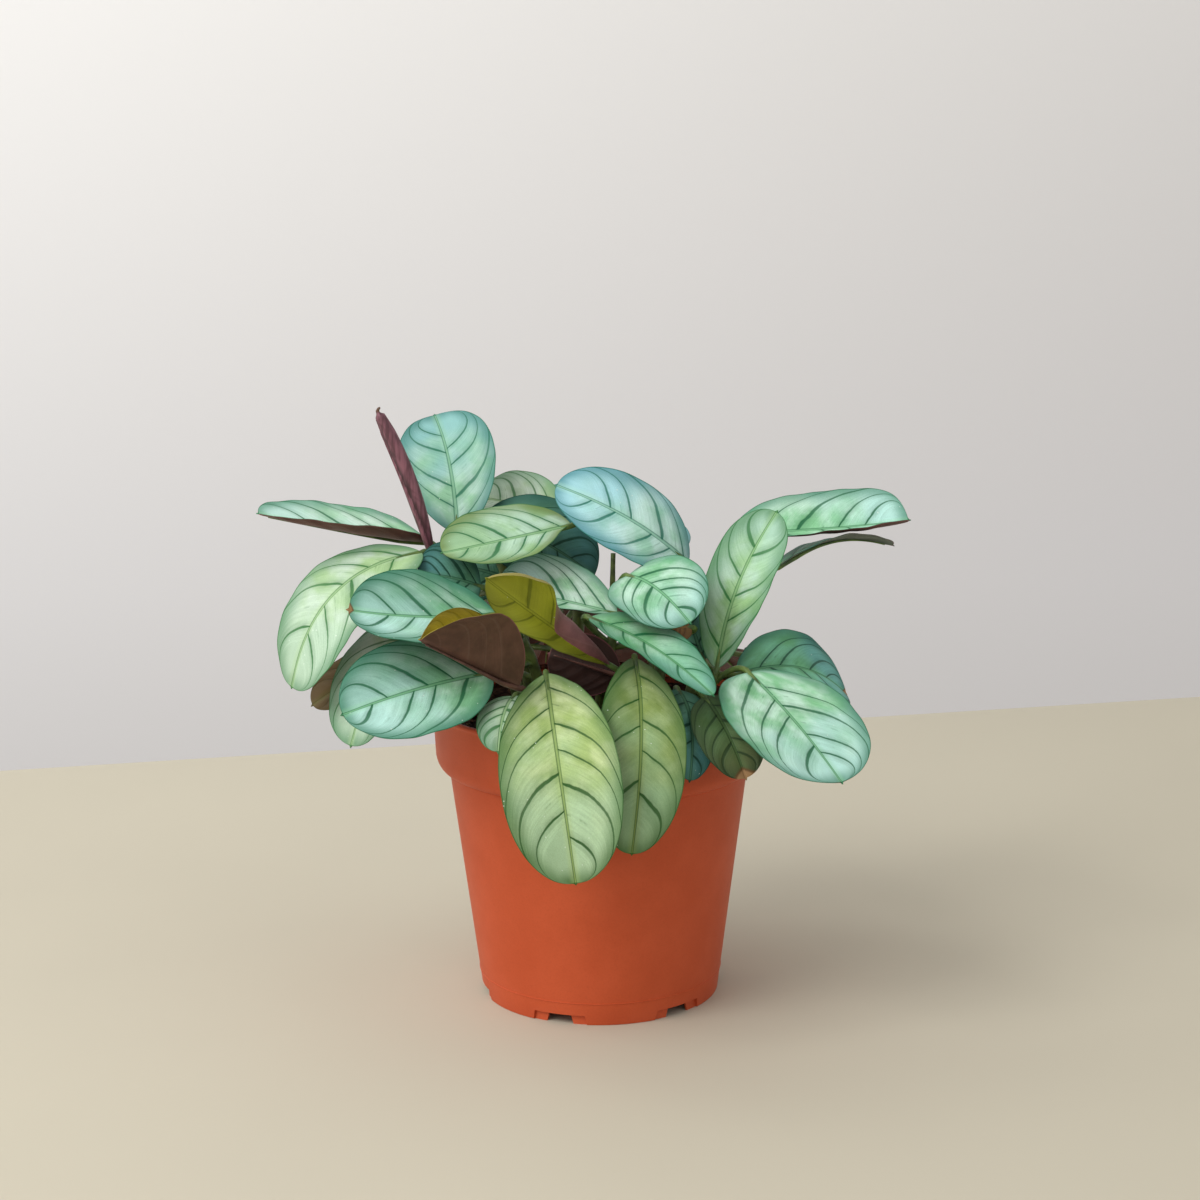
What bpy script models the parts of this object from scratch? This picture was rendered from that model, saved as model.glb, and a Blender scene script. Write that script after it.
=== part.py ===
"""Potted ctenanthe: a plastic nursery pot of soil, stems planted in it, and broad leaves on stalks.

+Z is up, the pot's axis is the Z axis, its foot stands on z = 0 and the front looks towards -Y.
Sizes and places are in millimetres and degrees, and to_metres turns them into Blender's metres.
"""

import math

import bmesh
import bpy
from mathutils import Matrix, Vector

MM = 0.001
GAP = 0.3  # between pieces that touch

# Pot
RIM_RADIUS = 60.4
RIM_HEIGHT = 108.4
LIP_HEIGHT = 106.0  # the underside of the rounded lip
LIP_WIDTH = 2.0
LIP_ROUND = 0.6
BAND_RADIUS = 59.0  # under the rim's band
BAND_HEIGHT = 91.5
SHOULDER_RADIUS = 57.7  # between the band and the wall
SHOULDER_HEIGHT = 88.0
WALL_TOP_RADIUS = 54.2
WALL_TOP_HEIGHT = 84.3
FOOT_RADIUS = 43.3
FOOT_WALL = 1.6
FOOT_FILLET = 1.5  # inside, where the wall meets the base plate
WALL = 1.2
BASE_HEIGHT = 4.7  # the base plate's underside
DRAIN_RADIUS = 5.0
SIDE_DRAINS = 6
SIDE_DRAIN_AT = 27.0  # from the pot's axis
POT_SIDES = 72
NOTCHES = 6
NOTCH_FIRST = -110.0  # from +X, so a little left of the front
NOTCH_HEIGHT = 3.6
NOTCH_OPENING = 15.0
NOTCH_RECESS = 29.0
RECESS_DEPTH = 0.8
CUT_PAST = 3.0  # how far a cutter runs past the wall

# Soil
SOIL_HEIGHT = 99.5
SOIL_RISE = 1.5  # in the middle
SOIL_MIDDLE = 28.0  # the radius of its flatter middle
SOIL_CLEARANCE = 0.6  # from the faceted pot
SOIL_SIDES = 48
SOCKET_RINGS = 4
SOCKET_STEP = 0.15  # of a stem's length

# Stems and stalks
STEM_DEPTH = 14.0  # in the soil
STEM_FOOT_RADIUS = 2.6
STEM_TOP_RADIUS = 1.9
STEM_SIDES = 8
STEM_RINGS = 7
STALK_RADIUS = 1.1
STALK_RINGS = 4
STALK_REACH = 0.45  # how far it runs straight into its blade, of its length
STEEPEST = 0.3  # the least slant reckoned with between a stalk and its stem

# Rolled young leaf
SPIKE_START = (-58.8, -1.6, 161.8)
SPIKE_END = (-75.5, -8.0, 213.0)
SPIKE_SWAY = (1.5, 0.0, 1.0)  # of its middle
SPIKE_RADII = (1.2, 1.9, 2.4, 2.6, 2.5, 2.3, 2.0, 1.5, 0.7)

# Leaf blades
BLADE_THICKNESS = 0.7
BLADE_RINGS = 9
BLADE_STEPS = 2  # across each half
ROLLED_STEPS = 5  # where a half is rolled up
ROLLED = 90.0  # a half that curls further than this is rolled
TIP_HALF_WIDTH = 0.5
BASE_POWER = 0.62  # 0.5 is an ellipse, and a higher power is more pointed
TIP_POWER = 2.4  # a higher power is blunter
OPENING = 0.3  # the share of its length over which a rolled leaf opens

# Colours, as linear red, green and blue
TERRACOTTA = (0.50, 0.11, 0.045)
EARTH = (0.030, 0.018, 0.012)
STEM_GREEN = (0.12, 0.20, 0.07)
MINT = (0.35, 0.62, 0.47)
BLUE = (0.22, 0.52, 0.50)
PALE = (0.50, 0.66, 0.38)
TEAL = (0.08, 0.27, 0.20)
YELLOW = (0.40, 0.48, 0.18)
OLIVE = (0.22, 0.22, 0.03)
PURPLE = (0.09, 0.035, 0.035)
TAN = (0.27, 0.15, 0.06)


class Stem:
    """A tapered tube that rises from foot, its place on the soil, and leans over to its top."""

    def __init__(self, foot, top, foot_radius=STEM_FOOT_RADIUS, top_radius=STEM_TOP_RADIUS):
        self.radii = (foot_radius, top_radius)
        self.root = Vector((foot[0], foot[1], SOIL_HEIGHT - STEM_DEPTH))
        self.top = Vector(top)
        self.bend = Vector((foot[0], foot[1], SOIL_HEIGHT + 0.5 * (top[2] - SOIL_HEIGHT)))

    def point(self, at):
        return bezier(self.root, self.bend, self.top, at)

    def direction(self, at):
        return bezier_slope(self.root, self.bend, self.top, at).normalized()

    def radius(self, at):
        return self.radii[0] + at * (self.radii[1] - self.radii[0])


class Leaf:
    """A blade from its base to its tip, with a stalk that meets a stem at a share of its height.

    faces is where the upper side looks: azimuth (0 is the front, 90 is +X) and elevation.
    skew makes the right half wider than the left one by its share. fold creases the halves up
    along the midrib. A higher base power makes a more pointed base, and a higher tip power a
    blunter tip, on the left half and the right one.
    bow lifts the midrib's middle towards the upper side, and sweep moves it to the right.
    twist turns the tip about the midrib. curl bends the left and right halves up, at the base,
    and tip_curl does at the tip. One turns into the other all along the leaf, or only where it
    opens.
    """

    def __init__(self, stem, at, base, tip, faces, width, skew=0, bow=6, sweep=0,
                 twist=0, curl=(12, 12), tip_curl=None, opens=None, fold=(0, 0), widest=0.5,
                 base_powers=(BASE_POWER, BASE_POWER),
                 tip_powers=(TIP_POWER, TIP_POWER), colour=MINT):
        self.stem, self.at, self.colour = stem, at, colour
        self.base, self.tip = Vector(base), Vector(tip)
        self.halves = (width / 2 * (1 - skew), width / 2 * (1 + skew))
        self.twist, self.widest = twist, widest
        self.curl, self.tip_curl, self.opens, self.fold = curl, tip_curl or curl, opens, fold
        self.base_powers, self.tip_powers = base_powers, tip_powers
        self.steps = ROLLED_STEPS if max(self.curl + self.tip_curl) > ROLLED else BLADE_STEPS
        self.chord = (self.tip - self.base).normalized()
        azimuth, elevation = map(math.radians, faces)
        self.up = Vector((math.sin(azimuth) * math.cos(elevation),
                          -math.cos(azimuth) * math.cos(elevation), math.sin(elevation)))
        side = self.chord.cross(self.up).normalized()
        middle = (self.base + self.tip) / 2
        self.bend = middle + 2 * bow * side.cross(self.chord) + 2 * sweep * side

    def frame(self, along):
        """The midrib's point, with the directions to the right, to the upper side and to the tip."""
        ahead = bezier_slope(self.base, self.bend, self.tip, along).normalized()
        turn = Matrix.Rotation(math.radians(self.twist) * (along - 0.5), 3, self.chord)
        right = ahead.cross(turn @ self.up).normalized()
        return bezier(self.base, self.bend, self.tip, along), right, right.cross(ahead), ahead

    def half_width_at(self, along, side):
        if along < self.widest:
            share = (1 - (1 - along / self.widest) ** 2) ** self.base_powers[side]
        else:
            reach = (along - self.widest) / (1 - self.widest)
            share = max(0.0, 1 - reach ** self.tip_powers[side]) ** 0.5
        return max(TIP_HALF_WIDTH, self.halves[side] * share)

    def curl_at(self, along, side):
        share = along
        if self.opens:
            share = min(1.0, max(0.0, (along - self.opens) / OPENING + 0.5))
            share = share * share * (3 - 2 * share)
        return math.radians(self.curl[side] + share * (self.tip_curl[side] - self.curl[side]))

    def point(self, along, across, depth=0.0):
        """A point of the blade: across is -1 at the left edge and 1 at the right one."""
        middle, right, up, _ = self.frame(along)
        side = 1 if across > 0 else 0
        curl = self.curl_at(along, side)
        half, angle = self.half_width_at(along, side), curl * abs(across)
        if abs(curl) < 0.01:
            out, rise = half * abs(across), 0.0
        else:
            out, rise = half / curl * math.sin(angle), half / curl * (1 - math.cos(angle))
        crease = math.radians(self.fold[side])
        flat = right if side else -right
        outward = flat * math.cos(crease) + up * math.sin(crease)
        lift = up * math.cos(crease) - flat * math.sin(crease)
        normal = lift * math.cos(angle) - outward * math.sin(angle) if across else up
        return middle + outward * out + lift * rise - normal * depth

    def blade_ring(self, along):
        shares = [i / self.steps for i in range(-self.steps, self.steps + 1)]
        upper = [self.point(along, across) for across in shares]
        under = [self.point(along, across, BLADE_THICKNESS * (1 - across**2) ** 0.5)
                 for across in shares[-2:0:-1]]
        return upper + under


def bezier(start, bend, end, at):
    return start * (1 - at) ** 2 + bend * (2 * at * (1 - at)) + end * at**2


def bezier_slope(start, bend, end, at):
    return (bend - start) * (2 * (1 - at)) + (end - bend) * (2 * at)


def circle(centre, right, up, radius, sides=STEM_SIDES):
    """Points round a circle, from the left over the top to the right and back underneath."""
    turns = [math.pi - math.tau * i / sides for i in range(sides)]
    return [centre + (right * math.cos(turn) + up * math.sin(turn)) * radius for turn in turns]


STEMS = {
    "stem_left": Stem((-26, -2), (-57, 0, 160)),
    "stem_left_middle": Stem((-18, -12), (-27, -22, 136)),
    "stem_left_back": Stem((-24, 14), (-36, 18, 158)),
    "stem_front": Stem((-12, -26), (-17, -26, 118)),
    "stem_centre": Stem((0, -12), (6, -14, 136)),
    "stem_front_right": Stem((14, -24), (14, -20, 122)),
    "stem_top_blue": Stem((20, 2), (33, 10, 150)),
    "stem_top_centre": Stem((-8, 16), (-4, 28, 169)),
    "stem_right": Stem((30, -16), (38, -18, 114)),
    "stem_right_back": Stem((32, 6), (55, 19, 150)),
    "stem_back": Stem((-8, 28), (-14, 38, 128)),
    "stem_back_right": Stem((16, 24), (24, 32, 118)),
    "stem_bare": Stem((5, 8), (6, 10, 160), 1.4, 0.9),
}

LEAVES = {
    "leaf_left_upright": Leaf(
        "stem_left", 1.0, (-50, 5, 169), (-60, 48, 206), (-5, 45), 35, bow=4, sweep=2, widest=0.58,
        colour=BLUE),
    "leaf_left_level": Leaf(
        "stem_left", 0.97, (-61.4, 6.6, 165.6), (-117, -24, 181.5), (0, 70), 30, skew=0.14,
        bow=-0.5, curl=(88, 14), tip_curl=(50, 14), widest=0.33, base_powers=(0.7, 0.42),
        tip_powers=(2.4, 2.2)),
    "leaf_left_drooping": Leaf(
        "stem_left", 0.93, (-62, -11, 165), (-107, -30, 121), (-30, 45), 36, skew=-0.2, bow=16,
        sweep=1, widest=0.56, colour=PALE),
    "leaf_left_middle": Leaf(
        "stem_left_middle", 1.0, (-35, -32, 147), (-84, -52, 153), (-5, 50), 35, skew=0.12, bow=1,
        sweep=-3, curl=(26, 12)),
    "leaf_left_low": Leaf(
        "stem_left_middle", 0.75, (-37, -36, 127), (-86, -62, 119), (-10, 38), 39, bow=3),
    "leaf_left_under": Leaf(
        "stem_left_middle", 0.85, (-48, -15, 142), (-86, -39, 102), (-40, 40), 38, bow=9, sweep=3,
        colour=PALE),
    "leaf_left_shaded": Leaf(
        "stem_left", 0.8, (-41, -14, 153), (-63, -19, 158.5), (0, 50), 30, bow=2, colour=TEAL),
    "leaf_left_inner": Leaf(
        "stem_left_back", 0.7, (-32, 24, 148), (-60, 34, 152), (0, 40), 34, bow=3, colour=TEAL),
    "leaf_left_old": Leaf(
        "stem_left_middle", 0.6, (-64, -8, 126), (-101, -20, 112), (-20, 50), 22, bow=4,
        colour=OLIVE),
    "leaf_top_centre": Leaf(
        "stem_top_centre", 1.0, (-9, 2, 172), (-54, -18, 166), (-10, 52), 32, bow=0, curl=(30, 10),
        base_powers=(1.8, 0.5)),
    "leaf_top_back": Leaf(
        "stem_top_centre", 0.95, (-14, 30, 169), (-46, 50, 175), (0, 50), 32, bow=2, colour=PALE),
    "leaf_centre_behind": Leaf(
        "stem_left_back", 1.0, (-42, 17, 172), (-1, 13, 151), (10, 38), 35, bow=6, colour=TEAL),
    "leaf_top_blue": Leaf(
        "stem_top_blue", 1.0, (33, 6, 157), (-14, -2, 187), (10, 32), 30, bow=7, colour=BLUE),
    "leaf_centre_broad": Leaf(
        "stem_centre", 1.0, (7, -15, 143), (-36, -9, 151.5), (0, 58), 30, skew=0.3, bow=1,
        twist=-20, curl=(50, 8), widest=0.55),
    "leaf_centre_slanting": Leaf(
        "stem_centre", 0.88, (-2.5, -26, 144), (39, -56, 123.2), (20, 72), 22, skew=-0.15, bow=4,
        base_powers=(0.45, 0.6), tip_powers=(1.4, 2.4)),
    "leaf_centre_small": Leaf(
        "stem_centre", 0.95, (11, -10.2, 155.8), (32, -36, 144), (5, 45), 34, bow=5,
        base_powers=(0.5, 0.5), colour=PALE),
    "leaf_right_upright": Leaf(
        "stem_right", 1.0, (42, -20, 124), (64, -4, 177), (-30, 20), 26, bow=2, sweep=-3,
        widest=0.62, colour=PALE),
    "leaf_right_top": Leaf(
        "stem_right_back", 1.0, (51, 20, 165.5), (114.8, 26, 168.5), (0, 60), 29, skew=-0.31,
        bow=-1, curl=(12, 45), tip_curl=(12, 85), widest=0.52, base_powers=(0.5, 0.62),
        tip_powers=(7, 3.6)),
    "leaf_right_edgewise": Leaf(
        "stem_right_back", 0.9, (66, 16, 153.5), (109.5, 30, 158.5), (180, 76), 23, bow=6,
        curl=(8, 8), colour=TEAL),
    "leaf_right_shaded": Leaf(
        "stem_right_back", 0.5, (50, 0, 117), (91, 10, 107), (10, 66), 40, bow=8, colour=TEAL),
    "leaf_right_oval": Leaf(
        "stem_right", 0.95, (53, -27, 124), (82, -66, 95), (34, 48), 52, skew=0.08, bow=2,
        base_powers=(0.55, 0.45)),
    "leaf_right_olive": Leaf(
        "stem_right", 0.85, (37, -38, 118), (50, -60, 95), (10, 30), 23, bow=5, colour=OLIVE),
    "leaf_right_low": Leaf(
        "stem_right", 0.6, (28, -31, 119), (31, -59, 94), (25, 30), 17, bow=7, colour=TEAL),
    "leaf_right_inner": Leaf(
        "stem_right", 0.9, (38, -7, 124), (31, 4, 148), (-20, 10), 22, bow=2, colour=TEAL),
    "leaf_front_long": Leaf(
        "stem_front", 1.0, (-18, -34, 126), (-8, -78, 64), (-5, 30), 41, bow=19, sweep=-1,
        widest=0.6, base_powers=(0.8, 0.8), colour=YELLOW),
    "leaf_front_second": Leaf(
        "stem_front_right", 1.0, (13, -28, 130), (11, -68, 71), (10, 30), 31, bow=17, curl=(5, 12),
        widest=0.58, base_powers=(0.75, 0.75), colour=YELLOW),
    "leaf_front_small": Leaf(
        "stem_front", 0.7, (-29, -38, 119), (-34, -60, 105), (-20, 30), 18, bow=4, colour=PALE),
    "leaf_dry": Leaf(
        "stem_centre", 0.85, (33, -16, 138), (21, -20, 135), (0, 40), 12, bow=3, colour=TAN),
    "young_leaf_folded": Leaf(
        "stem_front", 0.7, (-27.2, -45.4, 124), (-58, -78, 148), (130, 64), 38, skew=-0.1, bow=0,
        curl=(5, 15), tip_curl=(-40, 30), fold=(76, 74), widest=0.58, tip_powers=(1.1, 2.2),
        colour=PURPLE),
    "young_leaf_olive": Leaf(
        "stem_front_right", 0.9, (4, -30, 128), (-37, -52, 163), (10, 20), 28, skew=0.36, bow=-2,
        curl=(60, 225), tip_curl=(5, 118), opens=0.6, widest=0.62, base_powers=(0.85, 0.85),
        colour=OLIVE),
    "young_leaf_purple": Leaf(
        "stem_front_right", 0.8, (8, -19, 121), (-17, -21, 130), (180, -10), 22, bow=0,
        colour=PURPLE),
    "leaf_back_left": Leaf(
        "stem_back", 0.9, (-28, 42, 132), (-72, 64, 114), (-150, 60), 38, bow=8),
    "leaf_back_centre": Leaf(
        "stem_back", 1.0, (-14, 48, 132), (-21, 81, 100), (180, 50), 40, bow=10, colour=PALE),
    "leaf_back_high": Leaf(
        "stem_back", 0.95, (-6, 46, 134), (17, 80, 117), (155, 60), 34, bow=6, colour=BLUE),
    "leaf_back_right": Leaf(
        "stem_back_right", 1.0, (34, 42, 118), (60, 72, 92), (140, 50), 36, bow=6),
    "leaf_back_low_left": Leaf(
        "stem_back", 0.7, (-26, 44, 118), (-42, 76, 78), (-150, 40), 34, bow=10, colour=TEAL),
    "leaf_back_low_right": Leaf(
        "stem_back_right", 0.8, (20, 44, 118), (18, 78, 68), (175, 40), 38, bow=14, colour=YELLOW),
    "leaf_back_side": Leaf(
        "stem_right_back", 0.6, (56, 26, 118), (86, 46, 94), (120, 60), 34, bow=5, colour=TEAL),
    "leaf_back_top": Leaf(
        "stem_top_blue", 0.95, (30, 28, 158), (4, 62, 164), (200, 50), 32, bow=5, colour=BLUE),
    "leaf_back_crown": Leaf(
        "stem_top_centre", 0.8, (-16, 44, 150), (-22, 78, 148), (175, 60), 34, bow=6, colour=PALE),
    "leaf_back_upper_left": Leaf(
        "stem_left_back", 0.8, (-46, 36, 140), (-80, 60, 132), (-150, 60), 34, bow=5),
    "leaf_back_upper_right": Leaf(
        "stem_right_back", 0.65, (46, 32, 130), (38, 72, 128), (165, 60), 32, bow=7),
}


def hollow_profile():
    """The pot's section: up the outside, over the rim and down the inside, as radius and height."""
    inner_floor = BASE_HEIGHT + WALL
    fillet_radius = wall_radius(inner_floor + FOOT_FILLET) - WALL
    return [
        (FOOT_RADIUS, 0.0),
        (WALL_TOP_RADIUS, WALL_TOP_HEIGHT),
        (SHOULDER_RADIUS, SHOULDER_HEIGHT),
        (BAND_RADIUS, BAND_HEIGHT),
        (RIM_RADIUS - LIP_ROUND, LIP_HEIGHT),
        (RIM_RADIUS, LIP_HEIGHT + LIP_ROUND),
        (RIM_RADIUS, RIM_HEIGHT - LIP_ROUND),
        (RIM_RADIUS - LIP_ROUND, RIM_HEIGHT),
        (RIM_RADIUS - LIP_WIDTH + LIP_ROUND, RIM_HEIGHT),
        (RIM_RADIUS - LIP_WIDTH, LIP_HEIGHT + LIP_ROUND),
        (BAND_RADIUS - WALL, BAND_HEIGHT),
        (WALL_TOP_RADIUS - WALL, WALL_TOP_HEIGHT + WALL),
        (fillet_radius, inner_floor + FOOT_FILLET),
        (fillet_radius - FOOT_FILLET, inner_floor),
        (DRAIN_RADIUS, inner_floor),
        (DRAIN_RADIUS, BASE_HEIGHT),
        (FOOT_RADIUS - FOOT_WALL, BASE_HEIGHT),
        (FOOT_RADIUS - FOOT_WALL, 0.0),
    ]


def wall_radius(height):
    """The outside of the pot's tapered wall."""
    return FOOT_RADIUS + (WALL_TOP_RADIUS - FOOT_RADIUS) * height / WALL_TOP_HEIGHT


def to_metres(points):
    return [Vector(point) * MM for point in points]


def add_object(name, mesh, colour=(0.5, 0.5, 0.5), roughness=0.5):
    """An object of its own for the mesh, with its own material. The bmesh is freed."""
    bmesh.ops.recalc_face_normals(mesh, faces=mesh.faces)
    data = bpy.data.meshes.new(name)
    mesh.to_mesh(data)
    mesh.free()
    data.shade_smooth()
    data.set_sharp_from_angle(angle=math.radians(35))
    material = bpy.data.materials.new(name)
    material.use_nodes = True
    shader = material.node_tree.nodes["Principled BSDF"]
    shader.inputs["Base Color"].default_value = (*colour, 1.0)
    shader.inputs["Roughness"].default_value = roughness
    shader.inputs["Metallic"].default_value = 0.0
    data.materials.append(material)
    item = bpy.data.objects.new(name, data)
    bpy.context.scene.collection.objects.link(item)
    return item


def turned(profile, sides):
    """A ring turned about Z from a closed section of (radius, height) points."""
    mesh = bmesh.new()
    corners = [mesh.verts.new(point) for point in to_metres((r, 0, z) for r, z in profile)]
    edges = [mesh.edges.new((a, b)) for a, b in zip(corners, corners[1:] + corners[:1])]
    bmesh.ops.spin(mesh, geom=corners + edges, cent=(0, 0, 0), axis=(0, 0, 1),
                   angle=math.tau, steps=sides, use_merge=True)
    return mesh


def loft(rings):
    """A closed solid through rings of points, with both ends filled."""
    mesh = bmesh.new()
    loops = [[mesh.verts.new(point) for point in to_metres(ring)] for ring in rings]
    for near, far in zip(loops, loops[1:]):
        for i, corner in enumerate(near):
            after = (i + 1) % len(near)
            mesh.faces.new((corner, near[after], far[after], far[i]))
    mesh.faces.new(loops[0][::-1])
    mesh.faces.new(loops[-1])
    return mesh


def sector(inner, outer, middle, width, low, high, steps=4):
    """A solid slice of a ring about Z, for cutting, between two radii and two heights."""
    rings = []
    for i in range(steps + 1):
        turn = math.radians(middle + width * (i / steps - 0.5))
        corners = ((inner, low), (outer, low), (outer, high), (inner, high))
        rings.append([(r * math.cos(turn), r * math.sin(turn), z) for r, z in corners])
    return loft(rings)


def cut(item, cutters):
    """Takes each cutter's solid out of the item."""
    for cutter in cutters:
        cutter.display_type = "WIRE"
        cutter.hide_render = True
        boolean = item.modifiers.new(cutter.name, "BOOLEAN")
        boolean.operation = "DIFFERENCE"
        boolean.solver = "EXACT"
        boolean.object = cutter


def post(name, foot, radius, low, high, sides=12):
    """An upright round cutter."""
    centres = [Vector((*foot, low)), Vector((*foot, high))]
    right, up = Vector((1, 0, 0)), Vector((0, 1, 0))
    return add_object(name, loft([circle(c, right, up, radius, sides) for c in centres]))


def make_pot():
    pot = add_object("pot", turned(hollow_profile(), POT_SIDES), TERRACOTTA, 0.42)
    cutters = []
    for i in range(NOTCHES):
        middle = NOTCH_FIRST + i * 360 / NOTCHES
        recess = sector(FOOT_RADIUS - RECESS_DEPTH, FOOT_RADIUS + CUT_PAST, middle, NOTCH_RECESS,
                        -CUT_PAST, NOTCH_HEIGHT)
        opening = sector(FOOT_RADIUS - FOOT_WALL - CUT_PAST, FOOT_RADIUS + CUT_PAST / 2, middle,
                         NOTCH_OPENING, -CUT_PAST / 2, NOTCH_HEIGHT)
        cutters += [add_object(f"cut_recess_{i}", recess), add_object(f"cut_opening_{i}", opening)]
    for i in range(SIDE_DRAINS):
        turn = math.tau * i / SIDE_DRAINS
        foot = (SIDE_DRAIN_AT * math.cos(turn), SIDE_DRAIN_AT * math.sin(turn))
        cutters.append(post(f"cut_drain_{i}", foot, DRAIN_RADIUS, BASE_HEIGHT - CUT_PAST,
                            BASE_HEIGHT + WALL + CUT_PAST))
    cut(pot, cutters)


def make_soil():
    """A plug that fills the pot up to a little under its rim, with a socket for each stem."""
    floor = BASE_HEIGHT + WALL + GAP
    off = WALL + SOIL_CLEARANCE
    fillet_radius = wall_radius(floor + FOOT_FILLET) - off
    profile = [
        (0.0, SOIL_HEIGHT + SOIL_RISE),
        (SOIL_MIDDLE, SOIL_HEIGHT + 0.7 * SOIL_RISE),
        (BAND_RADIUS - off, SOIL_HEIGHT),
        (BAND_RADIUS - off, BAND_HEIGHT + GAP),
        (WALL_TOP_RADIUS - off, WALL_TOP_HEIGHT + WALL),
        (fillet_radius, floor + FOOT_FILLET),
        (fillet_radius - FOOT_FILLET, floor),
        (0.0, floor),
    ]
    mesh = bmesh.new()
    corners = [mesh.verts.new(point) for point in to_metres((r, 0, z) for r, z in profile)]
    edges = [mesh.edges.new((a, b)) for a, b in zip(corners, corners[1:])]
    bmesh.ops.spin(mesh, geom=corners + edges, cent=(0, 0, 0), axis=(0, 0, 1),
                   angle=math.tau, steps=SOIL_SIDES, use_merge=True)
    bmesh.ops.remove_doubles(mesh, verts=mesh.verts, dist=0.01 * MM)
    soil = add_object("soil", mesh, EARTH, 0.95)
    sockets = []
    for name, stem in STEMS.items():
        rings = []
        for i in range(SOCKET_RINGS):
            at = i * SOCKET_STEP
            ahead = stem.direction(at)
            right = ahead.cross(Vector((0, 1, 0))).normalized()
            radius = stem.radius(0) + 2 * GAP
            start = stem.point(at) - ahead * (2 * GAP if i == 0 else 0)
            rings.append(circle(start, right, right.cross(ahead), radius, STEM_SIDES))
        sockets.append(add_object(f"cut_{name}", loft(rings)))
    cut(soil, sockets)


def make_stem(name, stem):
    rings = []
    for i in range(STEM_RINGS):
        at = i / (STEM_RINGS - 1)
        ahead = stem.direction(at)
        right = ahead.cross(Vector((0, 1, 0))).normalized()
        rings.append(circle(stem.point(at), right, right.cross(ahead), stem.radius(at)))
    add_object(name, loft(rings), STEM_GREEN, 0.5)


def stalk_rings(leaf):
    """Rings from a little off the stem's surface to the blade's base, whose direction they take."""
    stem = STEMS[leaf.stem]
    joint = stem.point(leaf.at)
    base, right, up, ahead = leaf.frame(0)
    bend = base - ahead * (STALK_REACH * (base - joint).length)
    lean = (bend - joint).normalized()
    rise = abs(lean.dot(stem.direction(leaf.at)))
    aside = max(STEEPEST, math.sqrt(1 - rise**2))
    clear = (stem.radius(leaf.at) + GAP + STALK_RADIUS * rise) / aside
    if leaf.at == 1:
        clear = min(clear, (GAP + STALK_RADIUS * aside) / max(STEEPEST, rise))
    start = joint + lean * clear
    rings = []
    for i in range(STALK_RINGS):
        at = i / (STALK_RINGS - 1)
        run = bezier_slope(start, bend, base, at).normalized()
        across = run.cross(up).normalized()
        rings.append(circle(bezier(start, bend, base, at), across, across.cross(run), STALK_RADIUS,
                            4 * leaf.steps))
    return rings


def make_leaf(name, leaf):
    stations = [(1 - math.cos(math.pi * i / BLADE_RINGS)) / 2 for i in range(1, BLADE_RINGS + 1)]
    rings = stalk_rings(leaf) + [leaf.blade_ring(along) for along in stations]
    add_object(name, loft(rings), leaf.colour, 0.45)


def make_rolled_leaf():
    """The newest leaf, still rolled up into a spike."""
    start, end = Vector(SPIKE_START), Vector(SPIKE_END)
    bend = (start + end) / 2 + 2 * Vector(SPIKE_SWAY)
    rings = []
    for i, radius in enumerate(SPIKE_RADII):
        at = i / (len(SPIKE_RADII) - 1)
        ahead = bezier_slope(start, bend, end, at).normalized()
        right = ahead.cross(Vector((0, 1, 0))).normalized()
        rings.append(circle(bezier(start, bend, end, at), right, right.cross(ahead), radius))
    add_object("rolled_leaf", loft(rings), PURPLE, 0.4)


for old in list(bpy.data.objects):
    bpy.data.objects.remove(old)
make_pot()
make_soil()
make_rolled_leaf()
for name, stem in STEMS.items():
    make_stem(name, stem)
for name, leaf in LEAVES.items():
    make_leaf(name, leaf)
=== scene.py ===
# %% [markdown]
# # A potted ctenanthe
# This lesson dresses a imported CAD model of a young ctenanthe: a plastic nursery pot, soil, stems,
# and about forty broad leaves whose pale upper sides carry dark curved side veins. The CAD solids
# say where everything is. Here each one gets the shape and the finish that the real plant shows.

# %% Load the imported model
import random
from collections import namedtuple
from dataclasses import dataclass
from math import cos, exp, hypot, pi, radians, sin, sqrt, tau

import bmesh
import bpy
import numpy as np
from mathutils import Matrix, Vector, noise


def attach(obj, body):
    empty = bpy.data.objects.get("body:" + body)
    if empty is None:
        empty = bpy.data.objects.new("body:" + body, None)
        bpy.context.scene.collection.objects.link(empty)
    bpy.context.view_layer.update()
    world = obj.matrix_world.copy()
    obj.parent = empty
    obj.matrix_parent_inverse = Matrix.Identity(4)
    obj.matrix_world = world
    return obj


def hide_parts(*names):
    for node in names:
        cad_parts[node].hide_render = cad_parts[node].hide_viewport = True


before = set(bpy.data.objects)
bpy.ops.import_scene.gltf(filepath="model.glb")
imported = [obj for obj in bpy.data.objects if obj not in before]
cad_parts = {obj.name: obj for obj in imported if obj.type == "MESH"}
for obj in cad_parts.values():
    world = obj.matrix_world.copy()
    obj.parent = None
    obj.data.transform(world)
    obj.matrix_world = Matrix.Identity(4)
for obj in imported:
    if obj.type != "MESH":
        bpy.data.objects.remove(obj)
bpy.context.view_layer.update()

MM = 0.001

# %% [markdown]
# ## Camera
# The camera looks slightly down on the plant from nine tenths of a metre, with a lens long enough
# to keep the pot's rim a flat ellipse. A target to track would be shorter, but a matrix from three
# plain turns, a touch of yaw, a look down and a half-degree roll, also gives the camera its tilt.

# %% Camera
CAMERA_AT = Vector((0.0, -0.868, 0.323))
CAMERA_DOWN, CAMERA_YAW, CAMERA_ROLL = 11.6, 0.07, 0.5  # degrees
CAMERA_LENS = 74


def put(name, data):
    """Puts a camera, a lamp or a mesh in the scene as an object."""
    item = bpy.data.objects.new(name, data)
    bpy.context.scene.collection.objects.link(item)
    return item


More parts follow.
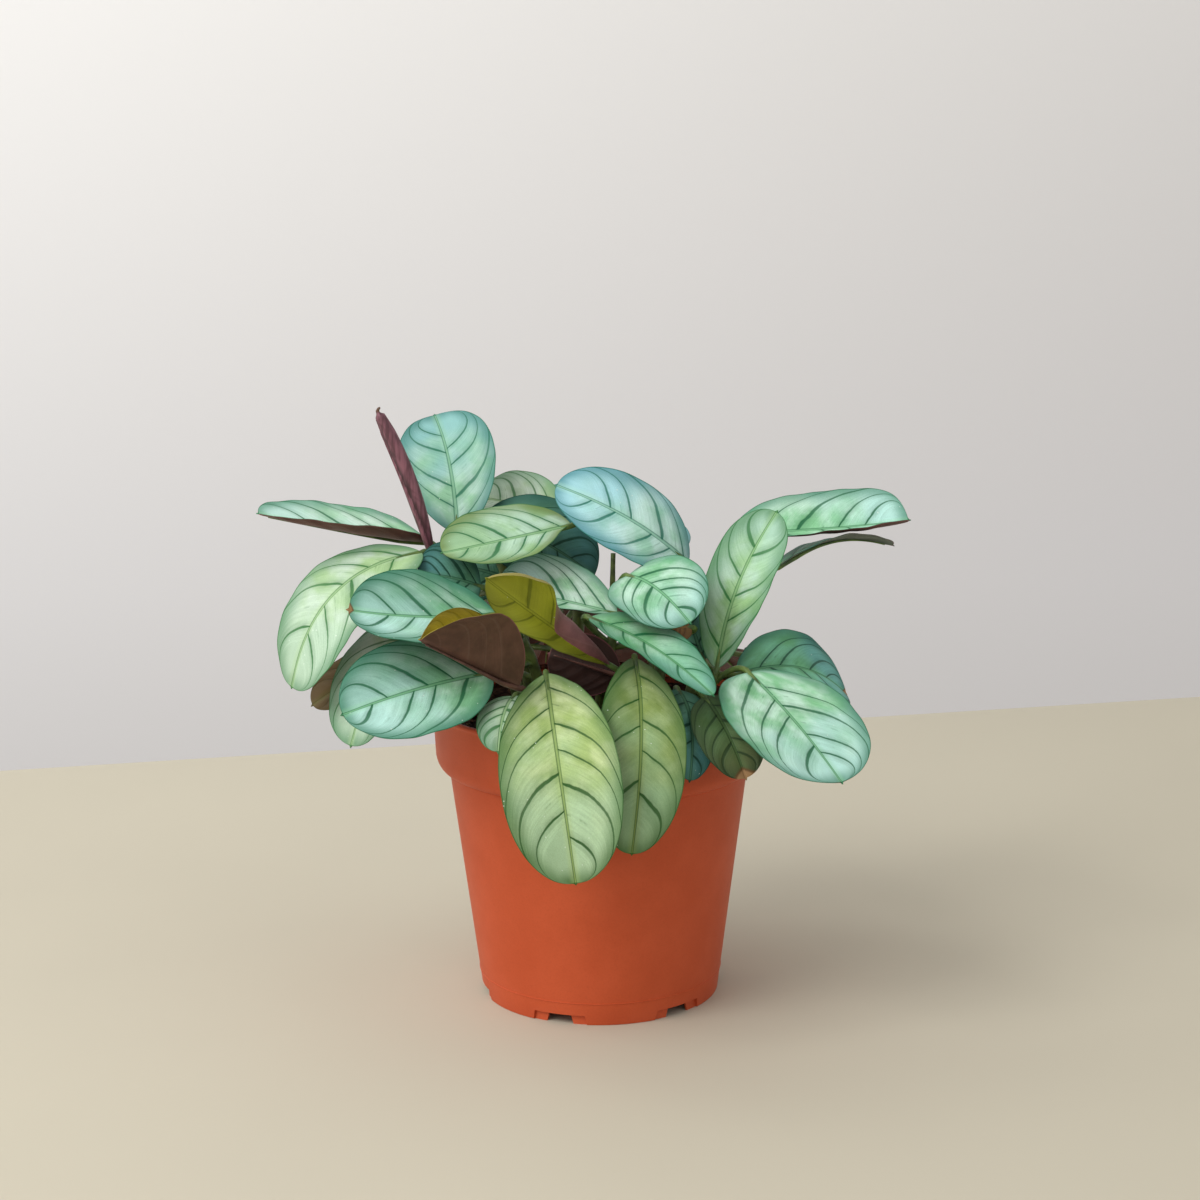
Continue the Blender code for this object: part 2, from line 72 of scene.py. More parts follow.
def add_camera():
    data = bpy.data.cameras.new("camera")
    data.lens = CAMERA_LENS
    camera = put("camera", data)
    camera.matrix_world = (Matrix.Translation(CAMERA_AT)
                           @ Matrix.Rotation(radians(-CAMERA_YAW), 4, "Z")
                           @ Matrix.Rotation(radians(90 - CAMERA_DOWN), 4, "X")
                           @ Matrix.Rotation(radians(-CAMERA_ROLL), 4, "Z"))
    bpy.context.scene.camera = camera
    return camera


print("camera at", tuple(add_camera().location))

# %% [markdown]
# ## Light
# Soft light suits leaves: a wide lamp high on the left in front makes the broad shading and the
# soft shadow on the right. A low one on the left and a weak one on the right open the shadows,
# another washes the wall, and the pale surroundings fill in the rest. The plain display transform
# keeps the colours as they are mixed.

# %% Light
SURROUNDINGS, GLOW = (0.80, 0.795, 0.785), 0.80


def add_lamp(name, place, aim, size, power, colour=(1, 1, 1)):
    data = bpy.data.lights.new(name, "AREA")
    data.size, data.energy, data.color = size, power, colour
    lamp = put(name, data)
    lamp.location = place
    lamp.rotation_euler = (Vector(aim) - Vector(place)).to_track_quat("-Z", "Y").to_euler()


world = bpy.data.worlds.new("studio")
world.use_nodes = True
background = world.node_tree.nodes["Background"]
background.inputs["Color"].default_value = (*SURROUNDINGS, 1.0)
background.inputs["Strength"].default_value = GLOW
bpy.context.scene.world = world
add_lamp("key", (-0.85, -0.70, 1.15), (0.0, 0.0, 0.12), 0.9, 15.0, (1.0, 0.99, 0.97))
add_lamp("low_fill", (-1.0, -1.0, 0.25), (0.0, 0.0, 0.14), 0.7, 2.0)
add_lamp("fill", (1.1, -0.9, 0.7), (0.0, 0.0, 0.12), 0.9, 0.8)
add_lamp("wall_wash", (-0.9, 0.42, 1.1), (-0.3, 0.9, 0.75), 0.6, 3.2)
bpy.context.scene.view_settings.view_transform = "Standard"
print("lamps:", [item.name for item in bpy.context.scene.objects if item.type == "LIGHT"])

# %% [markdown]
# ## Shader maths
# A leaf's pattern is arithmetic on a few measures, such as how far a point is from a vein. Wiring
# Math nodes by hand hides that arithmetic, so a small class wraps a socket and lets Python's own
# operators add the nodes. Everything else goes through one method, `node`, which takes a node's
# type, its settings and the values or links of its sockets.


# %% A socket that does arithmetic
class Shade:
    """One output socket of a material's nodes. + - and * with it add Math nodes."""

    def __init__(self, finish, socket):
        self.finish, self.socket = finish, socket

    def maths(self, operation, *values):
        node = self.finish.tree.nodes.new("ShaderNodeMath")
        node.operation = operation
        for place, value in zip(node.inputs, values):
            self.finish.feed(place, value)
        return Shade(self.finish, node.outputs[0])

    def __add__(self, other):
        return self.maths("ADD", self, other)

    def __sub__(self, other):
        return self.maths("SUBTRACT", self, other)

    def __rsub__(self, other):
        return self.maths("SUBTRACT", other, self)

    def __mul__(self, other):
        return self.maths("MULTIPLY", self, other)

    def __abs__(self):
        return self.maths("ABSOLUTE", self)

    __radd__, __rmul__ = __add__, __mul__

    def rounded(self):
        return self.maths("ROUND", self)

    def fade(self, start, end):
        """0 at start and 1 at end, with a soft step between. start may be the larger."""
        return self.finish.node("ShaderNodeMapRange", {"interpolation_type": "SMOOTHSTEP"},
                                {"Value": self, "From Min": start, "From Max": end})


# %% A material that is mixed from them
class FinishMaker:
    """A Principled material under construction."""

    def __init__(self, name, roughness=0.5, shine=0.5):
        self.material = bpy.data.materials.new(name)
        self.material.use_nodes = True
        self.tree = self.material.node_tree
        self.shader = self.tree.nodes["Principled BSDF"]
        self.set(Roughness=roughness, Specular_IOR_Level=shine)

    def feed(self, place, value):
        """A socket takes a link from a Shade, or a plain number or colour."""
        if isinstance(value, Shade):
            self.tree.links.new(value.socket, place)
        elif isinstance(value, (tuple, Vector)):
            place.default_value = tuple(value) + (1.0,) * (len(place.default_value) - len(value))
        else:
            place.default_value = value

    def node(self, kind, settings=(), values=(), out=0):
        """Adds a node. Its settings come first, and a socket goes by its name or its identifier."""
        node = self.tree.nodes.new(kind)
        for setting, value in dict(settings).items():
            setattr(node, setting, value)
        for name, value in dict(values).items():
            sockets = {s.name: s for s in reversed(node.inputs) if s.enabled}
            sockets.update({s.identifier: s for s in node.inputs})
            self.feed(sockets[name], value)
        outputs = {s.identifier: s for s in node.outputs}
        return Shade(self, outputs[out] if isinstance(out, str) else node.outputs[out])

    def where(self):
        """The place in the object's own coordinates."""
        return self.node("ShaderNodeTexCoord", out=3)

    def parts(self, vector):
        return [self.node("ShaderNodeSeparateXYZ", (), {"Vector": vector}, out=i) for i in range(3)]

    def measure(self, name):
        """The three numbers that a mesh carries under this name."""
        return self.parts(self.node("ShaderNodeAttribute", {"attribute_name": name}, out=1))

    def place(self, x, y, z):
        return self.node("ShaderNodeCombineXYZ", (), {"X": x, "Y": y, "Z": z})

    def cloud(self, where, scale, detail=2.0, roughness=0.5):
        """Soft noise from 0 to 1."""
        return self.node("ShaderNodeTexNoise", (), {
            "Vector": where, "Scale": scale, "Detail": detail, "Roughness": roughness})

    def mix(self, share, a, b):
        return self.node("ShaderNodeMix", {"data_type": "RGBA"},
                         {"Factor_Float": share, "A_Color": a, "B_Color": b}, "Result_Color")

    def coats(self, base, *layers):
        """A base colour with layers over it, each a share that shows and a colour."""
        for share, colour in layers:
            base = self.mix(share, base, colour)
        return base

    def set(self, **sockets):
        """Sets the main shader's sockets, with _ for a space in their names."""
        for name, value in sockets.items():
            self.feed(self.shader.inputs[name.replace("_", " ")], value)

    def relief(self, height, depth_mm, strength=1.0):
        """Bump from a height of 0 to 1 that stands for depth_mm."""
        self.set(Normal=self.node("ShaderNodeBump", (), {
            "Strength": strength, "Distance": depth_mm * MM, "Height": height}))


def tint(red, green, blue):
    """A colour given as it shows on a display, 0 to 255, as the linear values that shaders use."""
    return tuple(v / 3294.6 if v <= 10 else ((v / 255 + 0.055) / 1.055) ** 2.4
                 for v in (red, green, blue))


print("shader maths is ready; a mid grey is", tint(128, 128, 128)[0])

# %% [markdown]
# ## Floor and wall
# The pot stands on a pale table whose back edge runs a little askew, with a pale grey wall some way
# behind it. A slab and an upright sheet are enough, since nothing else of the room shows. The
# wall's colour carries painted shade: it is a shade darker towards the lower right, where less
# light reaches it.

# %% Floor and wall
TABLE_BACK = 0.355  # behind the pot's axis
TABLE_TURN = 11.7  # degrees
TABLE_SIZE = (3.2, 2.4, 0.03)


def put_mesh(name, mesh, material):
    """Puts a bmesh in the scene, with one material."""
    data = bpy.data.meshes.new(name)
    mesh.to_mesh(data)
    mesh.free()
    data.materials.append(material)
    return put(name, data)


def add_table():
    width, depth, thick = TABLE_SIZE
    shape = (Matrix.Rotation(radians(TABLE_TURN), 4, "Z")
             @ Matrix.Translation((0, TABLE_BACK - depth / 2, -thick / 2))
             @ Matrix.Diagonal((width, depth, thick, 1)))
    mesh = bmesh.new()
    bmesh.ops.create_cube(mesh, size=1.0, matrix=shape)
    finish = FinishMaker("table", roughness=0.75)
    patches = finish.cloud(finish.where(), 6)
    finish.set(Base_Color=finish.mix(patches, tint(197, 190, 171), tint(190, 183, 165)))
    return put_mesh("table", mesh, finish.material)


WALL_BEHIND, WALL_LOW, WALL_HIGH, WALL_HALF = 0.9, -1, 2.6, 3


def add_wall():
    data = bpy.data.meshes.new("wall")
    corners = [(x, WALL_BEHIND, z) for z in (WALL_LOW, WALL_HIGH) for x in (-WALL_HALF, WALL_HALF)]
    data.from_pydata(corners, [], [(0, 1, 3, 2)])
    finish = FinishMaker("wall", roughness=0.9, shine=0.1)
    x, _, z = finish.parts(finish.where())
    # painted shade: the wall's colour darkens towards the lower right
    shade = (z - x * 0.35).fade(-0.25, 0.75)
    finish.set(Base_Color=finish.mix(shade, tint(212, 209, 208), tint(238, 237, 236)))
    data.materials.append(finish.material)
    return put("wall", data)


add_table()
add_wall()
print("table's back edge is", TABLE_BACK, "m behind the axis")

# %% [markdown]
# ## The shape of a leaf
# A blade hangs on a curved midrib. Its two halves curl up from it like the pages of an open book.
# The CAD solids use these curves with few faces. The same numbers are given here again, in
# millimetres and degrees, so the fine blades lie where the solids are.


# %% Curves
def bezier(start, bend, end, at):
    return start * (1 - at) ** 2 + bend * (2 * at * (1 - at)) + end * at**2


def bezier_slope(start, bend, end, at):
    return (bend - start) * (2 * (1 - at)) + (end - bend) * (2 * at)


SOIL_HEIGHT = 99.5
STEM_DEPTH = 14.0


class Stem:
    """A tapered tube that rises from foot, its place on the soil, and leans over to its top."""

    def __init__(self, foot, top, foot_radius=2.6, top_radius=1.9):
        self.radii = (foot_radius, top_radius)
        self.root = Vector((foot[0], foot[1], SOIL_HEIGHT - STEM_DEPTH))
        self.top = Vector(top)
        self.bend = Vector((foot[0], foot[1], SOIL_HEIGHT + 0.5 * (top[2] - SOIL_HEIGHT)))

    def point(self, at):
        return bezier(self.root, self.bend, self.top, at)

    def radius(self, at):
        return self.radii[0] + at * (self.radii[1] - self.radii[0])


print("a stem is rooted", STEM_DEPTH, "mm deep")

# %% [markdown]
# ## The pattern of a leaf
# Four or five side veins leave the midrib on each side, left and right in turn. Each starts at
# about fifty degrees to it, bends towards the tip and runs out beside the edge. So a point's vein
# number is its distance along the midrib, less a share that grows with its distance from the
# midrib. Whole numbers are veins, and halves lie midway between two.

# %% One leaf
TIP_HALF_WIDTH = 0.5
OPENING = 0.3  # the share of its length over which a rolled leaf opens
MIDRIB_STEPS = 16
VEIN_RUN = ((1, 0.62), (2, 0.25), (6, 0.75))  # power of the way out, and half widths run ahead
VEINED = 0.93  # the share of the midrib that veins leave
VEIN_JITTER = 0.17  # how unevenly they leave it, in gaps

Finish = namedtuple("Finish", "heart field tip margin vein ink under")


@dataclass
class Leaf:
    """A blade on its stalk. Pairs of numbers are for the left half and the right one."""

    finish: Finish
    stem: str  # the stem's name without stem_
    at: float  # the share of the stem's height where the stalk leaves it
    base: tuple  # where the blade begins
    tip: tuple  # and where it ends
    faces: tuple  # the upper side's azimuth (0 is the front, 90 is +X) and elevation
    width: float
    skew: float = 0  # the share by which the right half is wider
    bow: float = 6  # how far the midrib's middle lies towards the upper side
    sweep: float = 0  # and to the right
    twist: float = 0  # of the tip about the midrib
    curl: tuple = (12, 12)  # how far the halves bend up at the base
    tip_curl: tuple = ()  # and at the tip, where that differs
    opens: float = 0  # where the leaf unrolls, if one curl doesn't turn into the other all along
    fold: tuple = (0, 0)  # how far the halves are creased up along the midrib
    widest: float = 0.5
    base_powers: tuple = (0.62, 0.62)  # higher is more pointed
    tip_powers: tuple = (2.4, 2.4)  # higher is blunter
    veins: int = 4  # on each half
    dry: float = 0  # about how many millimetres of the tip have dried
    dusk: tuple = (0, 0)  # painted shade: how much darker each half is coloured towards its edge

    def __post_init__(self):
        self.base, self.tip = Vector(self.base), Vector(self.tip)
        self.halves = (self.width / 2 * (1 - self.skew), self.width / 2 * (1 + self.skew))
        self.tip_curl = self.tip_curl or self.curl
        self.chord = (self.tip - self.base).normalized()
        azimuth, elevation = map(radians, self.faces)
        self.up = Vector((sin(azimuth) * cos(elevation),
                          -cos(azimuth) * cos(elevation), sin(elevation)))
        side = self.chord.cross(self.up).normalized()
        middle = (self.base + self.tip) / 2
        self.bend = middle + 2 * self.bow * side.cross(self.chord) + 2 * self.sweep * side
        stops = [bezier(self.base, self.bend, self.tip, i / MIDRIB_STEPS)
                 for i in range(MIDRIB_STEPS + 1)]
        self.midrib = sum((b - a).length for a, b in zip(stops, stops[1:]))

    def frame(self, along):
        """The midrib's point, with the directions to the right, to the upper side and ahead."""
        ahead = bezier_slope(self.base, self.bend, self.tip, along).normalized()
        turn = Matrix.Rotation(radians(self.twist) * (along - 0.5), 3, self.chord)
        right = ahead.cross(turn @ self.up).normalized()
        return bezier(self.base, self.bend, self.tip, along), right, right.cross(ahead), ahead

    def half_width_at(self, along, side):
        if along < self.widest:
            share = (1 - (1 - along / self.widest) ** 2) ** self.base_powers[side]
        else:
            reach = (along - self.widest) / (1 - self.widest)
            share = max(0.0, 1 - reach ** self.tip_powers[side]) ** 0.5
        return max(TIP_HALF_WIDTH, self.halves[side] * share)

    def curl_at(self, along, side):
        share = along
        if self.opens:
            share = min(1.0, max(0.0, (along - self.opens) / OPENING + 0.5))
            share = share * share * (3 - 2 * share)
        return radians(self.curl[side] + share * (self.tip_curl[side] - self.curl[side]))

    def surface(self, along, across):
        """A point of the upper side and the direction that it faces. across is -1 to 1."""
        middle, right, up, _ = self.frame(along)
        side = 1 if across > 0 else 0
        curl = self.curl_at(along, side)
        half, angle = self.half_width_at(along, side), curl * abs(across)
        if abs(curl) < 0.01:
            out, rise = half * abs(across), 0.0
        else:
            out, rise = half / curl * sin(angle), half / curl * (1 - cos(angle))
        crease = radians(self.fold[side])
        flat = right if side else -right
        outward = flat * cos(crease) + up * sin(crease)
        lift = up * cos(crease) - flat * sin(crease)
        normal = lift * cos(angle) - outward * sin(angle)
        return middle + outward * out + lift * rise, (normal if across else up)

    def vein_at(self, along, share, side):
        """The number of the vein through a point, and the gap there between two veins, in mm."""
        reach = 0.6 * self.halves[side] + 0.4 * self.half_width_at(along, side)
        run = sum(amount * share**power for power, amount in VEIN_RUN)
        slope = sum(amount * power * share ** (power - 1) for power, amount in VEIN_RUN)
        start = along - reach * run / self.midrib
        number = start / VEINED * (self.veins + 0.5) - (0.25 if side else 0.75)
        number += VEIN_JITTER * sin(2.3 * number + 5 * self.halves[side] + side)
        gap = self.midrib * VEINED / (self.veins + 0.5) / sqrt(1 + slope**2)
        return min(max(number, -0.45), self.veins - 0.55), gap


print("a vein runs ahead by", sum(a for _, a in VEIN_RUN), "half widths on its way to the edge")

# %% [markdown]
# ## Colours of the leaves
# No two leaves are quite alike. Each finish names the colour beside the midrib (heart), of the
# open blade (field), towards the tip, along the margin, and of the veins, how strongly the veins
# are drawn (ink), and the underside, which is plum brown on this plant.

# %% Leaf finishes
PLUM = (104, 68, 62)


def colours(*seen, ink, under=PLUM):
    """A leaf's heart, field, tip, margin and vein colours, each as a display shows it."""
    return Finish(*(tint(*colour) for colour in seen), ink, tint(*under))


MINT = colours(
    (140, 204, 152), (206, 242, 220), (190, 234, 224), (70, 132, 108), (10, 92, 54), ink=0.92)
BLUE = colours(
    (172, 222, 198), (214, 246, 240), (176, 226, 236), (78, 140, 154), (12, 106, 86), ink=0.88)
MIST = colours(
    (150, 198, 162), (182, 214, 200), (138, 188, 186), (70, 128, 124), (14, 100, 72), ink=0.88)
JADE = colours(
    (118, 184, 126), (170, 216, 184), (150, 208, 190), (60, 124, 96), (12, 100, 56), ink=0.92)
LIME = colours(
    (162, 204, 144), (200, 228, 208), (180, 216, 196), (88, 138, 98), (28, 106, 44), ink=0.9)
# painted light: LIGHT is a brighter copy of MINT for leaves that lie in other leaves' shadows but
# should look lit
LIGHT = colours(
    (172, 224, 180), (224, 250, 234), (204, 240, 230), (84, 152, 122), (12, 102, 60), ink=0.92)
GOLD = colours(
    (160, 202, 148), (200, 232, 210), (164, 202, 160), (112, 128, 62), (14, 100, 50), ink=0.9)
PALE = colours(
    (178, 210, 156), (214, 232, 214), (190, 216, 192), (102, 146, 112), (34, 106, 44), ink=0.88)
TEAL = colours(
    (90, 144, 108), (106, 164, 140), (92, 152, 154), (40, 90, 80), (11, 62, 43), ink=0.9)
FERN = colours(
    (116, 188, 134), (138, 212, 172), (116, 186, 178), (44, 104, 90), (11, 72, 50), ink=0.88)
YELLOW = colours(
    (168, 192, 116), (206, 222, 166), (186, 216, 176), (80, 118, 66), (30, 80, 22), ink=0.95)
OLIVE = colours(
    (190, 194, 66), (186, 192, 58), (172, 174, 54), (130, 134, 48), (100, 108, 30), ink=0.75,
    under=(136, 92, 92))
PURPLE = colours(
    (210, 198, 66), (214, 202, 68), (206, 190, 66), (150, 130, 50), (124, 118, 38), ink=0.5,
    under=(104, 72, 60))
TAN = colours(
    (150, 112, 66), (160, 120, 74), (140, 98, 58), (110, 76, 44), (104, 72, 44), ink=0.5,
    under=(130, 92, 58))
WITHERED = colours(
    (128, 126, 72), (132, 120, 72), (120, 98, 60), (98, 78, 46), (84, 76, 40), ink=0.6,
    under=(112, 84, 54))
MOSS = colours(
    (136, 156, 84), (170, 188, 130), (160, 194, 150), (74, 108, 60), (30, 80, 22), ink=0.95)
DARK = colours(
    (78, 108, 60), (86, 120, 76), (98, 110, 70), (56, 74, 46), (32, 56, 30), ink=0.8,
    under=(110, 76, 60))
SPECK, DRY_TIP, RUST = tint(226, 236, 226), tint(150, 118, 80), tint(96, 70, 40)
GREY = TEAL._replace(under=tint(98, 112, 100))
SHADY = PURPLE._replace(under=tint(66, 44, 38))
print("a mint leaf's field is", [round(value, 3) for value in MINT.field])

# %% [markdown]
# ## The stems and the leaves, one by one
# The stems come first, as foot on the soil and top. Then each leaf has its finish, its stem and
# how high it sits on it, where its blade begins and ends, where it faces, and its width.

# %% Stems and leaves
STEMS = dict(
    stem_left=Stem((-26, -2), (-57, 0, 160)),
    stem_left_middle=Stem((-18, -12), (-27, -22, 136)),
    stem_left_back=Stem((-24, 14), (-36, 18, 158)),
    stem_front=Stem((-12, -26), (-17, -26, 118)),
    stem_centre=Stem((0, -12), (6, -14, 136)),
    stem_front_right=Stem((14, -24), (14, -20, 122)),
    stem_top_blue=Stem((20, 2), (33, 10, 150)),
    stem_top_centre=Stem((-8, 16), (-4, 28, 169)),
    stem_right=Stem((30, -16), (38, -18, 114)),
    stem_right_back=Stem((32, 6), (55, 19, 150)),
    stem_back=Stem((-8, 28), (-14, 38, 128)),
    stem_back_right=Stem((16, 24), (24, 32, 118)),
    stem_bare=Stem((5, 8), (6, 10, 160), 1.4, 0.9),
)
LEAVES = {}


def grow(name, *place, **shape):
    LEAVES[name] = Leaf(*place, **shape)


grow("leaf_left_upright", MIST, "left", 1.0, (-50, 5, 169), (-60, 48, 206), (-5, 45), 35, bow=4,
     sweep=2, widest=0.58)
grow("leaf_left_level", LIGHT, "left", 0.97, (-61.4, 6.6, 165.6), (-117, -24, 181.5), (0, 70), 30,
     skew=0.14, bow=-0.5, curl=(88, 14), tip_curl=(50, 14), widest=0.33, base_powers=(0.7, 0.42),
     tip_powers=(2.4, 2.2))
grow("leaf_left_drooping", PALE, "left", 0.93, (-62, -11, 165), (-107, -30, 121), (-30, 45), 36,
     skew=-0.2, bow=16, sweep=1, widest=0.56)
grow("leaf_left_middle", MINT, "left_middle", 1.0, (-35, -32, 147), (-84, -52, 153), (-5, 50), 35,
     skew=0.12, bow=1, sweep=-3, curl=(26, 12), dry=1.8, dusk=(0, 0.75))
grow("leaf_left_low", MINT, "left_middle", 0.75, (-37, -36, 127), (-86, -62, 119), (-10, 38), 39,
     bow=3, dusk=(0, 0.7))
grow("leaf_left_under", PALE, "left_middle", 0.85, (-48, -15, 142), (-86, -39, 102), (-40, 40), 38,
     bow=9, sweep=3)
grow("leaf_left_shaded", TEAL, "left", 0.8, (-41, -14, 153), (-63, -19, 158.5), (0, 50), 30, bow=2)
grow("leaf_left_inner", TEAL, "left_back", 0.7, (-32, 24, 148), (-60, 34, 152), (0, 40), 34, bow=3)
grow("leaf_left_old", WITHERED, "left_middle", 0.6, (-64, -8, 126), (-101, -20, 112), (-20, 50),
     22, bow=4)
grow("leaf_top_centre", GOLD, "top_centre", 1.0, (-9, 2, 172), (-54, -18, 166), (-10, 52), 32,
     bow=0, curl=(30, 10), base_powers=(1.8, 0.5), dusk=(0.25, 0.1))
grow("leaf_top_back", PALE, "top_centre", 0.95, (-14, 30, 169), (-46, 50, 175), (0, 50), 32, bow=2)
grow("leaf_centre_behind", TEAL, "left_back", 1.0, (-42, 17, 172), (-1, 13, 151), (10, 38), 35,
     bow=6, dusk=(0.4, 0.4))
grow("leaf_top_blue", BLUE, "top_blue", 1.0, (33, 6, 157), (-14, -2, 187), (10, 32), 30, bow=7)
grow("leaf_centre_broad", LIGHT, "centre", 1.0, (7, -15, 143), (-36, -9, 151.5), (0, 58), 30,
     skew=0.3, bow=1, twist=-20, curl=(50, 8), widest=0.55)
grow("leaf_centre_slanting", JADE, "centre", 0.88, (-2.5, -26, 144), (39, -56, 123.2), (20, 72),
     22, skew=-0.15, bow=4, base_powers=(0.45, 0.6), tip_powers=(1.4, 2.4))
grow("leaf_centre_small", MINT, "centre", 0.95, (11, -10.2, 155.8), (32, -36, 144), (5, 45), 34,
     bow=5, base_powers=(0.5, 0.5))
grow("leaf_right_upright", LIME, "right", 1.0, (42, -20, 124), (64, -4, 177), (-30, 20), 26, bow=2,
     sweep=-3, widest=0.62, dusk=(0.35, 0))
grow("leaf_right_top", MINT, "right_back", 1.0, (51, 20, 165.5), (114.8, 26, 168.5), (0, 60), 29,
     skew=-0.31, bow=-1, curl=(12, 45), tip_curl=(12, 85), widest=0.52, base_powers=(0.5, 0.62),
     tip_powers=(7, 3.6))
grow("leaf_right_edgewise", GREY, "right_back", 0.9, (66, 16, 153.5), (109.5, 30, 158.5),
     (180, 76), 23, bow=6, curl=(8, 8))
grow("leaf_right_shaded", FERN, "right_back", 0.5, (50, 0, 117), (91, 10, 107), (10, 66), 40,
     bow=8, dry=1.5)
grow("leaf_right_oval", MINT, "right", 0.95, (53, -27, 124), (82, -66, 95), (34, 48), 52,
     skew=0.08, bow=2, base_powers=(0.55, 0.45))
grow("leaf_right_olive", DARK, "right", 0.85, (37, -38, 118), (50, -60, 95), (10, 30), 23, bow=5,
     dry=3)
grow("leaf_right_low", TEAL, "right", 0.6, (28, -31, 119), (31, -59, 94), (25, 30), 17, bow=7)
grow("leaf_right_inner", TEAL, "right", 0.9, (38, -7, 124), (31, 4, 148), (-20, 10), 22, bow=2)
grow("leaf_front_long", YELLOW, "front", 1.0, (-18, -34, 126), (-8, -78, 64), (-5, 30), 41, bow=19,
     sweep=-1, widest=0.6, base_powers=(0.8, 0.8), veins=5, dusk=(0, 0.25))
grow("leaf_front_second", MOSS, "front_right", 1.0, (13, -28, 130), (11, -68, 71), (10, 30), 31,
     bow=17, curl=(5, 12), widest=0.58, base_powers=(0.75, 0.75), dusk=(0.1, 0.6))
grow("leaf_front_small", PALE, "front", 0.7, (-29, -38, 119), (-34, -60, 105), (-20, 30), 18,
     bow=4)
grow("leaf_dry", TAN, "centre", 0.85, (33, -16, 138), (21, -20, 135), (0, 40), 12, bow=3)
grow("young_leaf_folded", PURPLE, "front", 0.7, (-27.2, -45.4, 124), (-58, -78, 148), (130, 64),
     38, skew=-0.1, bow=0, curl=(5, 15), tip_curl=(-40, 30), fold=(76, 74), widest=0.58,
     tip_powers=(1.1, 2.2))
grow("young_leaf_olive", OLIVE, "front_right", 0.9, (4, -30, 128), (-37, -52, 163), (10, 20), 28,
     skew=0.36, bow=-2, curl=(60, 225), tip_curl=(5, 118), opens=0.6, widest=0.62,
     base_powers=(0.85, 0.85))
grow("young_leaf_purple", SHADY, "front_right", 0.8, (8, -19, 121), (-17, -21, 130), (180, -10),
     22, bow=0)
grow("leaf_back_left", MINT, "back", 0.9, (-28, 42, 132), (-72, 64, 114), (-150, 60), 38, bow=8)
grow("leaf_back_centre", PALE, "back", 1.0, (-14, 48, 132), (-21, 81, 100), (180, 50), 40, bow=10)
grow("leaf_back_high", BLUE, "back", 0.95, (-6, 46, 134), (17, 80, 117), (155, 60), 34, bow=6)
grow("leaf_back_right", MINT, "back_right", 1.0, (34, 42, 118), (60, 72, 92), (140, 50), 36, bow=6)
grow("leaf_back_low_left", TEAL, "back", 0.7, (-26, 44, 118), (-42, 76, 78), (-150, 40), 34,
     bow=10)
grow("leaf_back_low_right", YELLOW, "back_right", 0.8, (20, 44, 118), (18, 78, 68), (175, 40), 38,
     bow=14)
grow("leaf_back_side", TEAL, "right_back", 0.6, (56, 26, 118), (86, 46, 94), (120, 60), 34, bow=5)
grow("leaf_back_top", BLUE, "top_blue", 0.95, (30, 28, 158), (4, 62, 164), (200, 50), 32, bow=5)
grow("leaf_back_crown", PALE, "top_centre", 0.8, (-16, 44, 150), (-22, 78, 148), (175, 60), 34,
     bow=6)
grow("leaf_back_upper_left", MINT, "left_back", 0.8, (-46, 36, 140), (-80, 60, 132), (-150, 60),
     34, bow=5)
grow("leaf_back_upper_right", MINT, "right_back", 0.65, (46, 32, 130), (38, 72, 128), (165, 60),
     32, bow=7)
print(len(STEMS), "stems and", len(LEAVES), "leaves")

# %% [markdown]
# ## Leaf finish
# Both sides are painted from measures that every corner of the mesh carries: the vein number,
# the distances to the midrib and to the edge, and the place along and across the blade. The
# veins' strokes taper outward, fine lines run along with them, and the margin is a thin dark line
# in a soft darker band.


# %% Upper side and underside
def leaf_measures(finish, leaf, seed):
    """What the mesh carries, a point's place on the blade laid flat, and fine lines along it."""
    vein, out, inset = finish.measure("pattern")
    along, across, gap = finish.measure("blade")
    blade = finish.place(along * leaf.midrib, across * leaf.halves[1], seed)
    streaks = finish.cloud(finish.place(vein * 16, out * 0.12, seed), 1.0, 3, 0.65)
    return vein, out, inset, along, across, gap, blade, streaks


